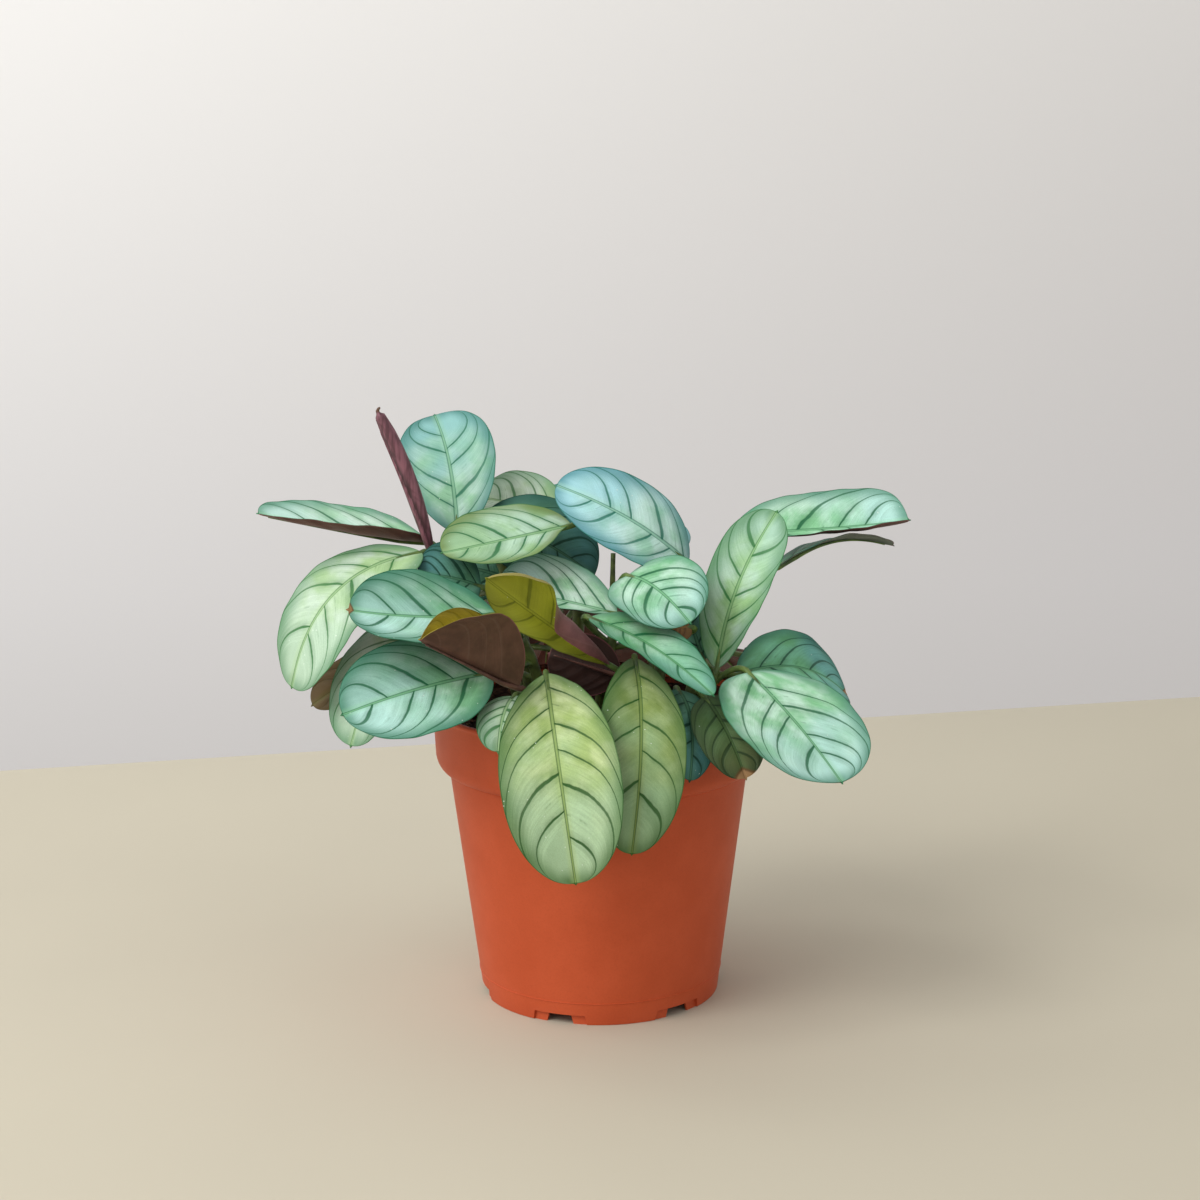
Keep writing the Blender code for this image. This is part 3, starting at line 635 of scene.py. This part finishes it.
def leaf_finish(name, leaf, seed):
    heart, field, tip, margin, dark, ink, _ = leaf.finish
    finish = FinishMaker(name, shine=0.22)
    vein, out, inset, along, across, gap, blade, streaks = leaf_measures(finish, leaf, seed)
    spread = abs(across)
    grain = finish.cloud(blade, 3.0, 2)
    washes = finish.cloud(blade, 0.055, 2, 0.4)
    tones = finish.cloud(blade, 0.09, 3, 0.5)
    brush = finish.cloud(finish.place((vein + 0.5).rounded() * 7, out * 0.3, seed), 1.0, 2)
    wander = (finish.cloud(finish.place(vein * 0.8, out * 0.13, seed + 9), 1.0) - 0.5) * 0.14
    near = vein + wander
    from_vein = abs(near - near.rounded()) * gap
    between = abs(near + 0.5 - (near + 0.5).rounded()) * gap
    width = 0.17 + 0.34 * spread.fade(-0.1, 0.2) * spread.fade(0.98, 0.30) * (0.45 + 0.9 * brush)
    stroke = from_vein.fade(width * 1.4, width * 0.6) * (1 - 0.25 * spread)
    # halo: a soft darkening about each vein, partly the leaf's own green and partly painted shade
    # beside its groove
    halo = from_vein.fade(width * 2.2 + 2.4, width * 0.5) * spread.fade(1.15, 0.3)
    faint = between.fade(0.35, 0.1) * spread.fade(0.75, 0.2) * brush.fade(0.52, 0.62)
    rib_width = 0.72 - 0.40 * along
    rib = out.fade(rib_width * 1.5, rib_width * 0.9)
    cells = finish.node("ShaderNodeTexVoronoi", (), {"Vector": blade, "Scale": 0.30})
    base = finish.coats(
        field,
        (tones.fade(0.35, 0.65), heart),
        ((along + washes * 0.9).fade(0.75, 1.35), tip),
        (inset.fade(7.5, 0.0) * (0.45 + 0.65 * washes), margin))
    # painted shade: a half that lies in shade darkens towards its edge
    if any(leaf.dusk):
        dusk = leaf.dusk[0] + (leaf.dusk[1] - leaf.dusk[0]) * across.fade(-0.05, 0.05)
        base = finish.mix(dusk * (0.3 + 0.7 * spread), base, margin)
    base = finish.coats(
        base,
        (streaks.fade(0.3, 0.75) * 0.2, dark),
        (grain.fade(0.3, 0.8) * 0.14, dark),
        (out.fade(2.4, 0.4) * 0.35, heart),
        (halo * brush.fade(0, 0.7) * (0.36 * ink), dark),
        (faint * (0.35 * ink), dark),
        (stroke * ink, dark),
        (rib * (0.8 * ink), dark),
        (out.fade(rib_width * 0.95, rib_width * 0.35) * 0.55, heart),
        (inset.fade(0.55, 0.12) * 0.7, dark),
        (cells.fade(0.085, 0.05) * washes.fade(0.5, 0.56) * 0.6, SPECK))
    if leaf.dry:
        left = (1 - along) * leaf.midrib + out * 0.55 + washes * 2.5 - 1.2
        base = finish.coats(base, (left.fade(leaf.dry * 1.4, leaf.dry * 0.95), RUST),
                            (left.fade(leaf.dry * 1.05, leaf.dry * 0.75), DRY_TIP))
    finish.set(Base_Color=base, Roughness=0.46 + 0.16 * streaks)
    finish.relief(streaks * 0.5 + grain * 0.3 - stroke * 0.8 - rib, 0.25, 0.6)
    return finish.material


def underside_finish(name, leaf, seed):
    finish = FinishMaker(name, shine=0.25)
    vein, out, inset, along, _, gap, blade, streaks = leaf_measures(finish, leaf, seed)
    colour = leaf.finish.under
    paler = tuple(0.85 * v + 0.03 for v in colour)
    base = finish.coats(
        colour,
        (finish.cloud(blade, 0.12, 4, 0.6).fade(0.3, 0.7), tuple(0.6 * v for v in colour)),
        (streaks * 0.3, tuple(0.5 * v for v in colour)),
        ((abs(vein - vein.rounded()) * gap).fade(0.5, 0.1) * 0.3, paler),
        (out.fade(1.4, 0.5) * 0.5, paler),
        (inset.fade(0.6, 0.1) * 0.5, tint(150, 90, 96)))
    if leaf.opens:
        base = finish.mix(along.fade(0.5, 0.75) * 0.85, base, tint(140, 134, 56))
    finish.set(Base_Color=base)
    finish.relief(streaks, 0.2, 0.5)
    return finish.material


def spotted(name, light, dark, clouds, spread, surface, relief):
    """Two tones in spots, given their scale and detail, where one tone turns into the other,
    roughness and shine, and the bump's depth and strength."""
    finish = FinishMaker(name, *surface)
    spots = finish.cloud(finish.where(), *clouds)
    finish.set(Base_Color=finish.mix(spots.fade(*spread), light, dark))
    finish.relief(spots, *relief)
    return finish.material


STALK = ((220, 3), (0.3, 0.7), (0.42, 0.4), (0.15, 0.5))
stalk_green = spotted("stalk_green", tint(104, 128, 62), tint(62, 86, 46), *STALK)
stalk_plum = spotted("stalk_plum", tint(104, 70, 60), tint(76, 48, 42), *STALK)
print("leaf finishes are ready")

# %% [markdown]
# ## Blades
# Each blade is one closed sheet: a fine grid for the upper side, the same grid a little lower for
# the underside, and a rim between them. The fields between the veins swell up, the midrib lies in
# a groove, and the edge waves gently. The stalk is a tube that leaves the stem and runs on under
# the blade as its midrib, thinner and thinner.

# %% Grids and tubes
ROWS = 64
COLUMNS = 16  # on each half
BLADE_THICKNESS = 0.34
EDGE_THICKNESS = 0.14
QUILT = 0.45  # how high the fields swell between the veins
GROOVE = 0.35
EDGE_WAVE = 0.3
BEAK = 0.9  # how far the tip's small point stands out
STALK_RADIUS, STALK_STEPS, STALK_SIDES = 1.1, 12, 10
RIB_END, RIB_STEPS = 0.94, 24  # the share of the midrib along which a stalk runs on


def blade_grid(leaf, seed):
    """Upper and lower points for rows along and columns across, and the pattern's measures."""
    shares = [sin(i / COLUMNS * pi / 2) ** 0.9 for i in range(COLUMNS + 1)]
    across_all = [-s for s in shares[:0:-1]] + shares
    upper, lower, measures = [], [], []
    for row in range(ROWS + 1):
        along = (1 - cos(pi * row / ROWS)) / 2
        for across in across_all:
            share, side = abs(across), 1 if across > 0 else 0
            point, normal = leaf.surface(along, across)
            half = leaf.half_width_at(along, side)
            veins = [leaf.vein_at(along, share, half_side) for half_side in (0, 1)]
            slack = min(1.0, half / 8)
            field = 0.5 - 0.5 * cos(tau * veins[side][0])
            quilt = QUILT * field * share**0.5 * (1 - share**4)
            groove = GROOVE * exp(-((share * half / 1.3) ** 2))
            ripple = sin(leaf.midrib * along * 0.25 + seed + 2.2 * side)
            ripple += 0.5 * sin(leaf.midrib * along * 0.6 + 2 * seed)
            lift = (quilt - groove + EDGE_WAVE * share**3 * ripple) * slack
            thick = EDGE_THICKNESS + (BLADE_THICKNESS - EDGE_THICKNESS) * (1 - share**2) ** 0.5
            if row == ROWS:
                point = point + leaf.frame(1)[3] * BEAK * (1 - share)
            upper.append(point + normal * lift)
            lower.append(point + normal * (lift - thick))
            inset = min(half * (1 - share), leaf.midrib * (1 - along) * 1.2)
            measures.append((veins, share * half, inset, along, across))
    return upper, lower, measures


def tube(points, radii, sides):
    """Rings of points along a path, as vertices and quads with both ends closed."""
    vertices, faces = [], []
    right = None
    for i, (point, radius) in enumerate(zip(points, radii)):
        ahead = (points[min(i + 1, len(points) - 1)] - points[max(i - 1, 0)]).normalized()
        if right is None:
            right = ahead.orthogonal().normalized()
        right = (right - ahead * right.dot(ahead)).normalized()
        up = ahead.cross(right)
        for s in range(sides):
            turn = tau * s / sides
            vertices.append(point + (right * cos(turn) + up * sin(turn)) * radius)
    for i in range(len(points) - 1):
        for s in range(sides):
            a, b = i * sides + s, i * sides + (s + 1) % sides
            faces.append((a, b, b + sides, a + sides))
    faces.append(tuple(range(sides))[::-1])
    faces.append(tuple(range((len(points) - 1) * sides, len(points) * sides)))
    return vertices, faces


def joined(shapes):
    """Several closed shapes as one."""
    vertices, faces = [], []
    for shape_vertices, shape_faces in shapes:
        faces += [tuple(v + len(vertices) for v in face) for face in shape_faces]
        vertices += shape_vertices
    return vertices, faces


def stalk(leaf):
    """A tube from inside the stem to the blade's base, then under the blade along its midrib."""
    joint = STEMS["stem_" + leaf.stem].point(leaf.at)
    base, _, _, ahead = leaf.frame(0)
    bend = base - ahead * (0.45 * (base - joint).length)
    points = [bezier(joint, bend, base, i / STALK_STEPS) for i in range(STALK_STEPS)]
    radii = [STALK_RADIUS] * STALK_STEPS
    for i in range(RIB_STEPS + 1):
        along = RIB_END * i / RIB_STEPS
        middle, _, up, _ = leaf.frame(along)
        radius = 0.25 + (STALK_RADIUS - 0.3) * (1 - along) ** 1.6
        below = GROOVE + BLADE_THICKNESS * 0.5 + radius * 0.95 * min(1, i / 4)
        points.append(middle - up * below)
        radii.append(radius)
    return tube(points, radii, STALK_SIDES)


print("a blade has", 2 * (ROWS + 1) * (2 * COLUMNS + 1), "points")

# %% Build every leaf
STALK_PATTERN, STALK_PLACE = (0.5, 9.0, 9.0), (0.5, 0.5, 5.0)  # far from any vein or edge


def add_object(name, vertices, faces, materials, indices=()):
    data = bpy.data.meshes.new(name)
    data.from_pydata([tuple(v * MM) for v in vertices], [], faces)
    for material in materials:
        data.materials.append(material)
    if indices:
        data.polygons.foreach_set("material_index", indices)
    data.shade_smooth()
    data.update()
    return put(name, data)


def carry(item, name, domain, values):
    """Gives every corner or point of a mesh three numbers under a name."""
    attribute = item.data.attributes.new(name, "FLOAT_VECTOR", domain)
    attribute.data.foreach_set("vector", np.array(values, np.float32).ravel())


def make_leaf(name, leaf, seed):
    upper, lower, measures = blade_grid(leaf, seed)
    wide, count = 2 * COLUMNS + 1, len(upper)
    faces, indices, patterns, places = [], [], [], []

    def add_face(corner_indices, material, side):
        faces.append(corner_indices)
        indices.append(material)
        for corner in corner_indices:
            veins, out, inset, along, across = measures[corner % count]
            number, gap = veins[side]
            patterns.append((number, out, inset))
            places.append((along, across, gap))

    for row in range(ROWS):
        for column in range(wide - 1):
            a = row * wide + column
            side = int(column >= COLUMNS)
            ring = (a, a + 1, a + 1 + wide, a + wide)
            add_face(ring, 0, side)
            add_face(tuple(count + v for v in ring[::-1]), 1, side)
    border = [*range(wide), *range(2 * wide - 1, count, wide),
              *range(count - 2, count - wide - 1, -1), *range(count - 2 * wide, 0, -wide)]
    for a, b in zip(border, border[1:] + border[:1]):
        side = int(measures[a][4] > 0 or measures[b][4] > 0)
        add_face((b, a, count + a, count + b), 0, side)
    vertices, faces = joined([(upper + lower, faces), stalk(leaf)])
    for face in faces[len(indices):]:
        indices.append(2)
        patterns += [STALK_PATTERN] * len(face)
        places += [STALK_PLACE] * len(face)
    materials = [leaf_finish(f"{name}_upper", leaf, seed),
                 underside_finish(f"{name}_under", leaf, seed),
                 stalk_plum if leaf.finish in (PURPLE, SHADY) else stalk_green]
    item = add_object(f"{name}_blade", vertices, faces, materials, indices)
    carry(item, "pattern", "CORNER", patterns)
    carry(item, "blade", "CORNER", places)
    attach(item, "root")
    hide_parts(name)
    return item


for number, (name, leaf) in enumerate(LEAVES.items()):
    blade = make_leaf(name, leaf, 1.7 * number)
print(len(LEAVES), "leaves, each with", len(blade.data.polygons), "faces")

# %% [markdown]
# ## Stems
# The stems are young, green and mottled, and swell and narrow a little on their way up. Only stalks
# grow from them, so each can be one tube along the same curve as its CAD solid.

# %% Stems
STEM_RINGS, STEM_SIDES = 28, 14
KNOBS = 0.05  # the share by which a stem swells
stem_green = spotted("stem_green", tint(104, 122, 62), tint(66, 80, 46), *STALK)


def make_stem(name, stem):
    shares = [i / STEM_RINGS for i in range(STEM_RINGS + 1)]
    points = [stem.point(share) for share in shares]
    radii = [stem.radius(share) * (1 + KNOBS * sin(i * 0.9)) for i, share in enumerate(shares)]
    item = add_object(f"{name}_tube", *tube(points, radii, STEM_SIDES), [stem_green])
    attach(item, "root")
    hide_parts(name)


for name, stem in STEMS.items():
    make_stem(name, stem)
print(len(STEMS), "stems")

# %% [markdown]
# ## The rolled leaf
# The newest leaf stands up rolled like an umbrella, plum outside. Its free edge climbs round it,
# and its dry tip is hooked. A sheet could really be rolled up, but only the outermost turn shows.
# So it is a tube whose radius grows with the turn, and the step where it starts again is the edge.

# %% Rolled leaf
SPIKE_START, SPIKE_END = Vector((-58.8, -1.6, 161.8)), Vector((-75.5, -8.0, 213.0))
SPIKE_SWAY = Vector((1.5, 0.0, 1.0))
SPIKE_RADII = (1.2, 1.9, 2.4, 2.7, 2.8, 2.8, 2.7, 2.5, 1.8)
SPIKE_HOOK = ((-0.5, 0, 0.9), (-0.8, 0, 1.7), (-0.5, 0, 2.5), (0.1, 0, 3.0))
HOOK_RADII = (0.8, 0.65, 0.5, 0.3)
SPIKE_RINGS, SPIKE_SIDES = 60, 40
ROLL_START, ROLL_TURNS = 0.35, 0.3  # where the free edge starts and how far round it climbs
ROLL_INNER, ROLL_STEP = 0.88, 0.24  # shares of the radius: under the free edge, and its step


def rolled_finish():
    finish = FinishMaker("rolled_plum", roughness=0.45, shine=0.35)
    x, y, z = finish.parts(finish.where())
    streaks = finish.cloud(finish.place(x, y, z * 0.12), 700, 3)
    bands = finish.cloud(finish.place(x * 0.3, y * 0.3, z + x * 0.8), 230, 2)
    turn, up, _ = finish.measure("roll")
    finish.set(Base_Color=finish.coats(
        tint(138, 90, 102),
        (streaks.fade(0.35, 0.65), tint(92, 58, 66)),
        (bands.fade(0.5, 0.62) * 0.45, tint(66, 42, 46)),
        # painted shade under the free edge, just past the step
        (turn.fade(0.16, 0.02) * 0.75, tint(54, 34, 38)),
        # painted highlight along the free edge
        (turn.fade(0.9, 0.98) * 0.4, tint(150, 96, 108)),
        (up.fade(0.95, 0.975), tint(92, 66, 48))))
    finish.relief(streaks, 0.2, 0.5)
    return finish.material


def make_rolled_leaf():
    bend = (SPIKE_START + SPIKE_END) / 2 + 2 * SPIKE_SWAY
    shares = [i / SPIKE_RINGS for i in range(SPIKE_RINGS + 1)]
    points = [bezier(SPIKE_START, bend, SPIKE_END, share) for share in shares]
    points += [SPIKE_END + Vector(step) for step in SPIKE_HOOK]
    ends = np.linspace(0, 1, len(SPIKE_RADII))
    radii = [float(np.interp(share, ends, SPIKE_RADII)) for share in shares] + list(HOOK_RADII)
    vertices, faces = tube(points, radii, SPIKE_SIDES)
    rolls = []
    for number, corner in enumerate(vertices):
        ring, s = divmod(number, SPIKE_SIDES)
        turn = (s / SPIKE_SIDES + ROLL_START + ROLL_TURNS * ring / SPIKE_RINGS) % 1
        middle = points[ring]
        vertices[number] = middle + (corner - middle) * (ROLL_INNER + ROLL_STEP * turn)
        rolls.append((turn, ring / (len(points) - 1), 0.0))
    item = add_object("rolled_leaf_spike", vertices, faces, [rolled_finish()])
    carry(item, "roll", "POINT", rolls)
    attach(item, "root")
    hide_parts("rolled_leaf")
    return item


print("rolled leaf", [round(v, 3) for v in make_rolled_leaf().dimensions])

# %% [markdown]
# ## Pot
# A thin moulded nursery pot has a foot ring, a tapered wall with a fine seam, a band that stands
# out under the rim, and a rounded lip. One section, turned about the axis, gives all of it, and
# cutters take out the notches and the drain holes.

# %% Pot section
FOOT_RADIUS, WALL_TOP_RADIUS, WALL_TOP = 43.3, 54.2, 84.3
BAND_RADIUS, BAND_START = 59.0, 91.0
RIM_RADIUS, RIM_HEIGHT, LIP = 60.4, 108.4, 1.05  # the lip is a bead of this radius
POT_WALL, BASE_HEIGHT = 1.2, 4.7
SEAM_HEIGHT, SEAM = 8.3, 0.22
DRAIN_RADIUS = 5.0


def wall_at(height):
    return FOOT_RADIUS + (WALL_TOP_RADIUS - FOOT_RADIUS) * height / WALL_TOP


def pot_section():
    """Radius and height, up the outside, over the lip, down the inside and along the base."""
    section = [(FOOT_RADIUS - 0.3, 0), (FOOT_RADIUS - 0.05, 0.12), (wall_at(0.4), 0.4)]
    section += [(wall_at(SEAM_HEIGHT + z) + bulge * SEAM, SEAM_HEIGHT + z)
                for z, bulge in ((-0.5, 0), (-0.2, 0), (-0.08, 1), (0.08, 1), (0.2, 0), (0.5, 0))]
    section += [(wall_at(z), z) for z in (30, 55, 78, 83.2)]
    section += [(WALL_TOP_RADIUS - 0.15, WALL_TOP - 0.2), (WALL_TOP_RADIUS + 0.35, WALL_TOP + 0.15)]
    start = WALL_TOP_RADIUS + 0.8
    for i in range(9):
        turn = pi / 2 * i / 8
        section.append((start + (BAND_RADIUS - start) * sin(turn),
                        BAND_START - (BAND_START - WALL_TOP - 0.4) * cos(turn)))
    section += [(BAND_RADIUS + 0.3, 98), (BAND_RADIUS + 0.62, 105.6)]
    middle = (RIM_RADIUS - LIP, RIM_HEIGHT - LIP)
    for i in range(11):
        turn = radians(-60 + 280 * i / 10)
        section.append((middle[0] + LIP * cos(turn), middle[1] + LIP * sin(turn)))
    inner = BASE_HEIGHT + POT_WALL
    section += [(BAND_RADIUS - POT_WALL + 0.3, 104), (BAND_RADIUS - POT_WALL, BAND_START + 1),
                (WALL_TOP_RADIUS - POT_WALL, WALL_TOP + 1), (wall_at(inner) - POT_WALL, inner),
                (DRAIN_RADIUS, inner), (DRAIN_RADIUS, BASE_HEIGHT),
                (FOOT_RADIUS - 1.6, BASE_HEIGHT), (FOOT_RADIUS - 1.6, 0)]
    return section


print("pot section has", len(pot_section()), "points")

# %% Turned and cut
POT_SIDES = 180
NOTCH_FIRST, NOTCHES, NOTCH_HEIGHT = -110.0, 6, 3.6
NOTCH_OPENING, NOTCH_RECESS, NOTCH_LEAN = 15.0, 29.0, 2.0  # degrees
RECESS_DEPTH, WEDGE_STEPS = 0.8, 6
DRAIN_AT, DRAINS, DRAIN_SIDES = 27.0, 6, 37


def spot(radius, turn):
    """X and Y at a distance from the axis, round from +X."""
    return radius * cos(turn), radius * sin(turn)


def turned(section, sides):
    """A closed section turned about the axis."""
    vertices = [Vector((*spot(r, tau * i / sides), z)) for i in range(sides) for r, z in section]
    count = len(section)
    faces = [(i * count + a, (i + 1) % sides * count + a,
              (i + 1) % sides * count + (a + 1) % count, i * count + (a + 1) % count)
             for i in range(sides) for a in range(count)]
    return vertices, faces


def wedge(inner, outer, middle, width, low, high):
    """A block between two radii, width degrees wide below, with ends that lean in."""
    vertices = []
    for z, half in ((low, width / 2), (high, width / 2 - NOTCH_LEAN)):
        for radius in (inner, outer):
            for i in range(WEDGE_STEPS + 1):
                turn = radians(middle - half + 2 * half * i / WEDGE_STEPS)
                vertices.append(Vector((*spot(radius, turn), z)))
    n = WEDGE_STEPS + 1
    faces = []
    for i in range(WEDGE_STEPS):
        faces += [(i, i + 1, n + i + 1, n + i),
                  (2 * n + i, 3 * n + i, 3 * n + i + 1, 2 * n + i + 1),
                  (i, 2 * n + i, 2 * n + i + 1, i + 1),
                  (n + i, n + i + 1, 3 * n + i + 1, 3 * n + i)]
    faces += [(0, n, 3 * n, 2 * n), (n - 1, 3 * n - 1, 4 * n - 1, 2 * n - 1)]
    return vertices, faces


def cut(item, cutter):
    """Takes the cutter out of the item and keeps the result as plain mesh."""
    modifier = item.modifiers.new(cutter.name, "BOOLEAN")
    modifier.operation, modifier.object, modifier.solver = "DIFFERENCE", cutter, "FAST"
    bpy.context.view_layer.update()
    result = item.evaluated_get(bpy.context.evaluated_depsgraph_get())
    data = bpy.data.meshes.new_from_object(result)
    item.modifiers.clear()
    item.data = data
    bpy.data.objects.remove(cutter)


def outward(item):
    """Turns all faces of a closed shape outward."""
    mesh = bmesh.new()
    mesh.from_mesh(item.data)
    bmesh.ops.recalc_face_normals(mesh, faces=mesh.faces)
    mesh.to_mesh(item.data)
    mesh.free()
    return item


print("pot has", NOTCHES, "notches")

# %% Pot finish and build
TERRACOTTA = tint(196, 86, 50)
STAIN_AND_SHADE, DARKENED_ABOVE, CLEAN_LIP = 0.96, 88, 1.8  # earth stains and painted shade on the inside, up to the lip's bead


def pot_finish(name, stain_and_shade=0.0):
    finish = FinishMaker(name, shine=0.22)
    where = finish.where()
    mottle = finish.cloud(where, 45, 5, 0.6)
    grain = finish.cloud(where, 1500, 2)
    base = finish.coats(TERRACOTTA, (mottle.fade(0.3, 0.7), tint(188, 80, 44)),
                        (grain.fade(0.4, 0.8) * 0.10, tint(120, 52, 34)))
    if stain_and_shade:
        # earth stains and painted shade: the inside of the pot darkens in dark spots
        earth_and_shade = finish.cloud(where, 160, 4, 0.7)
        base = finish.mix(earth_and_shade.fade(0.80, 0.45) * stain_and_shade, base, tint(48, 32, 26))
    finish.set(Base_Color=base, Roughness=0.44 + 0.12 * mottle)
    finish.relief(grain, 0.05, 0.5)
    return finish.material


def drain(turn):
    foot = Vector((*spot(DRAIN_AT, turn), 0))
    ends = [foot + Vector((0, 0, BASE_HEIGHT + z)) for z in (-1.3, 2.1)]
    return tube(ends, [DRAIN_RADIUS] * 2, DRAIN_SIDES)


def make_pot():
    materials = [pot_finish("pot_plastic"), pot_finish("pot_inside", STAIN_AND_SHADE)]
    item = outward(add_object("pot_moulding", *turned(pot_section(), POT_SIDES), materials))
    middles = [NOTCH_FIRST + i * 360 / NOTCHES for i in range(NOTCHES)]
    cutters = {
        "recesses": [wedge(FOOT_RADIUS - RECESS_DEPTH, FOOT_RADIUS + 3, middle, NOTCH_RECESS, -3,
                           NOTCH_HEIGHT) for middle in middles],
        "openings": [wedge(FOOT_RADIUS - 5, FOOT_RADIUS + 2, middle, NOTCH_OPENING, -2,
                           NOTCH_HEIGHT - 0.1) for middle in middles],
        "drains": [drain(tau * i / DRAINS) for i in range(DRAINS)],
    }
    for name, shapes in cutters.items():
        cut(item, outward(add_object(name, *joined(shapes), [])))
    data = item.data
    for face in data.polygons:
        radius, height = face.center.to_2d().length / MM, face.center.z / MM
        edge = RIM_RADIUS - LIP if height > RIM_HEIGHT - CLEAN_LIP else BAND_RADIUS - 1
        face.material_index = int(radius < edge and height > DARKENED_ABOVE)
    data.shade_smooth()
    data.set_sharp_from_angle(angle=radians(40))
    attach(item, "root")
    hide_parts("pot")
    return item


pot = make_pot()
print("pot", [round(v, 4) for v in pot.dimensions], len(pot.data.polygons), "faces")

# %% [markdown]
# ## Soil
# Potting mix is dark peat with crumbs of bark and a few white perlite grains. The CAD's soil
# keeps its place, and a rough crust of crumbs lies on it, heaped a little against the pot. The
# crumbs could be scattered instances, but one plain mesh for each kind is simpler to export.

# %% Soil
SOIL_EDGE = 57.2
CRUST_RINGS, CRUST_SIDES = 56, 150
CRUMB_SQUASH = ((0.6, 1.4), (0.6, 1.2), (0.4, 0.9))
CRUMB = ((900, 3), (0.35, 0.65), (0.92, 0.1), (0.3, 0.8))
potting_mix = spotted("potting_mix", tint(30, 21, 18), tint(70, 50, 38),
                      (350, 4), (0.35, 0.7), (0.95, 0.1), (1.2, 1.0))
peat = spotted("peat", tint(44, 31, 25), tint(74, 54, 42), *CRUMB)
bark = spotted("bark", tint(70, 48, 36), tint(98, 72, 54), *CRUMB)
perlite = spotted("perlite", tint(206, 198, 184), tint(160, 150, 134), *CRUMB)


def ground_height(x, y):
    """The crust's height: above the CAD's soil, lumpy, and higher beside the pot."""
    radius = hypot(x, y)
    heap = 2.2 * max(0.0, radius / SOIL_EDGE - 0.6) ** 1.5 / 0.25
    lumps = 1.1 * noise.fractal(Vector((x, y, 3.0)) * 0.09, 1.0, 2.0, 4)
    lumps += 0.5 * noise.noise(Vector((x, y, 9.0)) * 0.45)
    return SOIL_HEIGHT + 1.7 * (1 - radius / SOIL_EDGE) + 0.7 + heap + lumps


def make_crust():
    vertices = [Vector((0, 0, ground_height(0, 0)))]
    faces = [(0, 1 + s, 1 + (s + 1) % CRUST_SIDES) for s in range(CRUST_SIDES)]
    for i in range(CRUST_RINGS):
        radius = SOIL_EDGE * (i + 1) / CRUST_RINGS
        for s in range(CRUST_SIDES):
            x, y = spot(radius, tau * s / CRUST_SIDES)
            vertices.append(Vector((x, y, ground_height(x, y))))
            if i:
                a, b = (1 + i * CRUST_SIDES + n for n in (s, (s + 1) % CRUST_SIDES))
                faces.append((a - CRUST_SIDES, a, b, b - CRUST_SIDES))
    item = add_object("soil_crust", vertices, faces, [potting_mix])
    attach(item, "root")
    return item


def make_crumbs(name, count, sizes, material, seed):
    """Loose angular crumbs, each a jittered ball squashed a little, in one mesh."""
    chance = random.Random(seed)
    mesh = bmesh.new()
    for _ in range(count):
        x, y = spot(SOIL_EDGE * sqrt(chance.random()) - 2, tau * chance.random())
        size = chance.uniform(*sizes)
        made = bmesh.ops.create_icosphere(mesh, subdivisions=1, radius=size * MM)["verts"]
        squash = Vector([chance.uniform(*limits) for limits in CRUMB_SQUASH])
        spin = Matrix.Rotation(tau * chance.random(), 3, "Z")
        place = Vector((x, y, ground_height(x, y) + 0.25 * size)) * MM
        for vertex in made:
            push = chance.uniform(0.75, 1.2)
            vertex.co = spin @ (vertex.co * squash * push) + place
    item = put_mesh(name, mesh, material)
    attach(item, "root")


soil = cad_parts["soil"]
soil.data.materials.clear()
soil.data.materials.append(potting_mix)
crust = make_crust()
make_crumbs("soil_crumbs", 900, (0.5, 1.6), peat, 1)
make_crumbs("soil_bark", 160, (1.0, 2.4), bark, 2)
make_crumbs("soil_perlite", 45, (0.5, 1.1), perlite, 3)
print("soil crust up to", round(max(v.co.z for v in crust.data.vertices), 4))
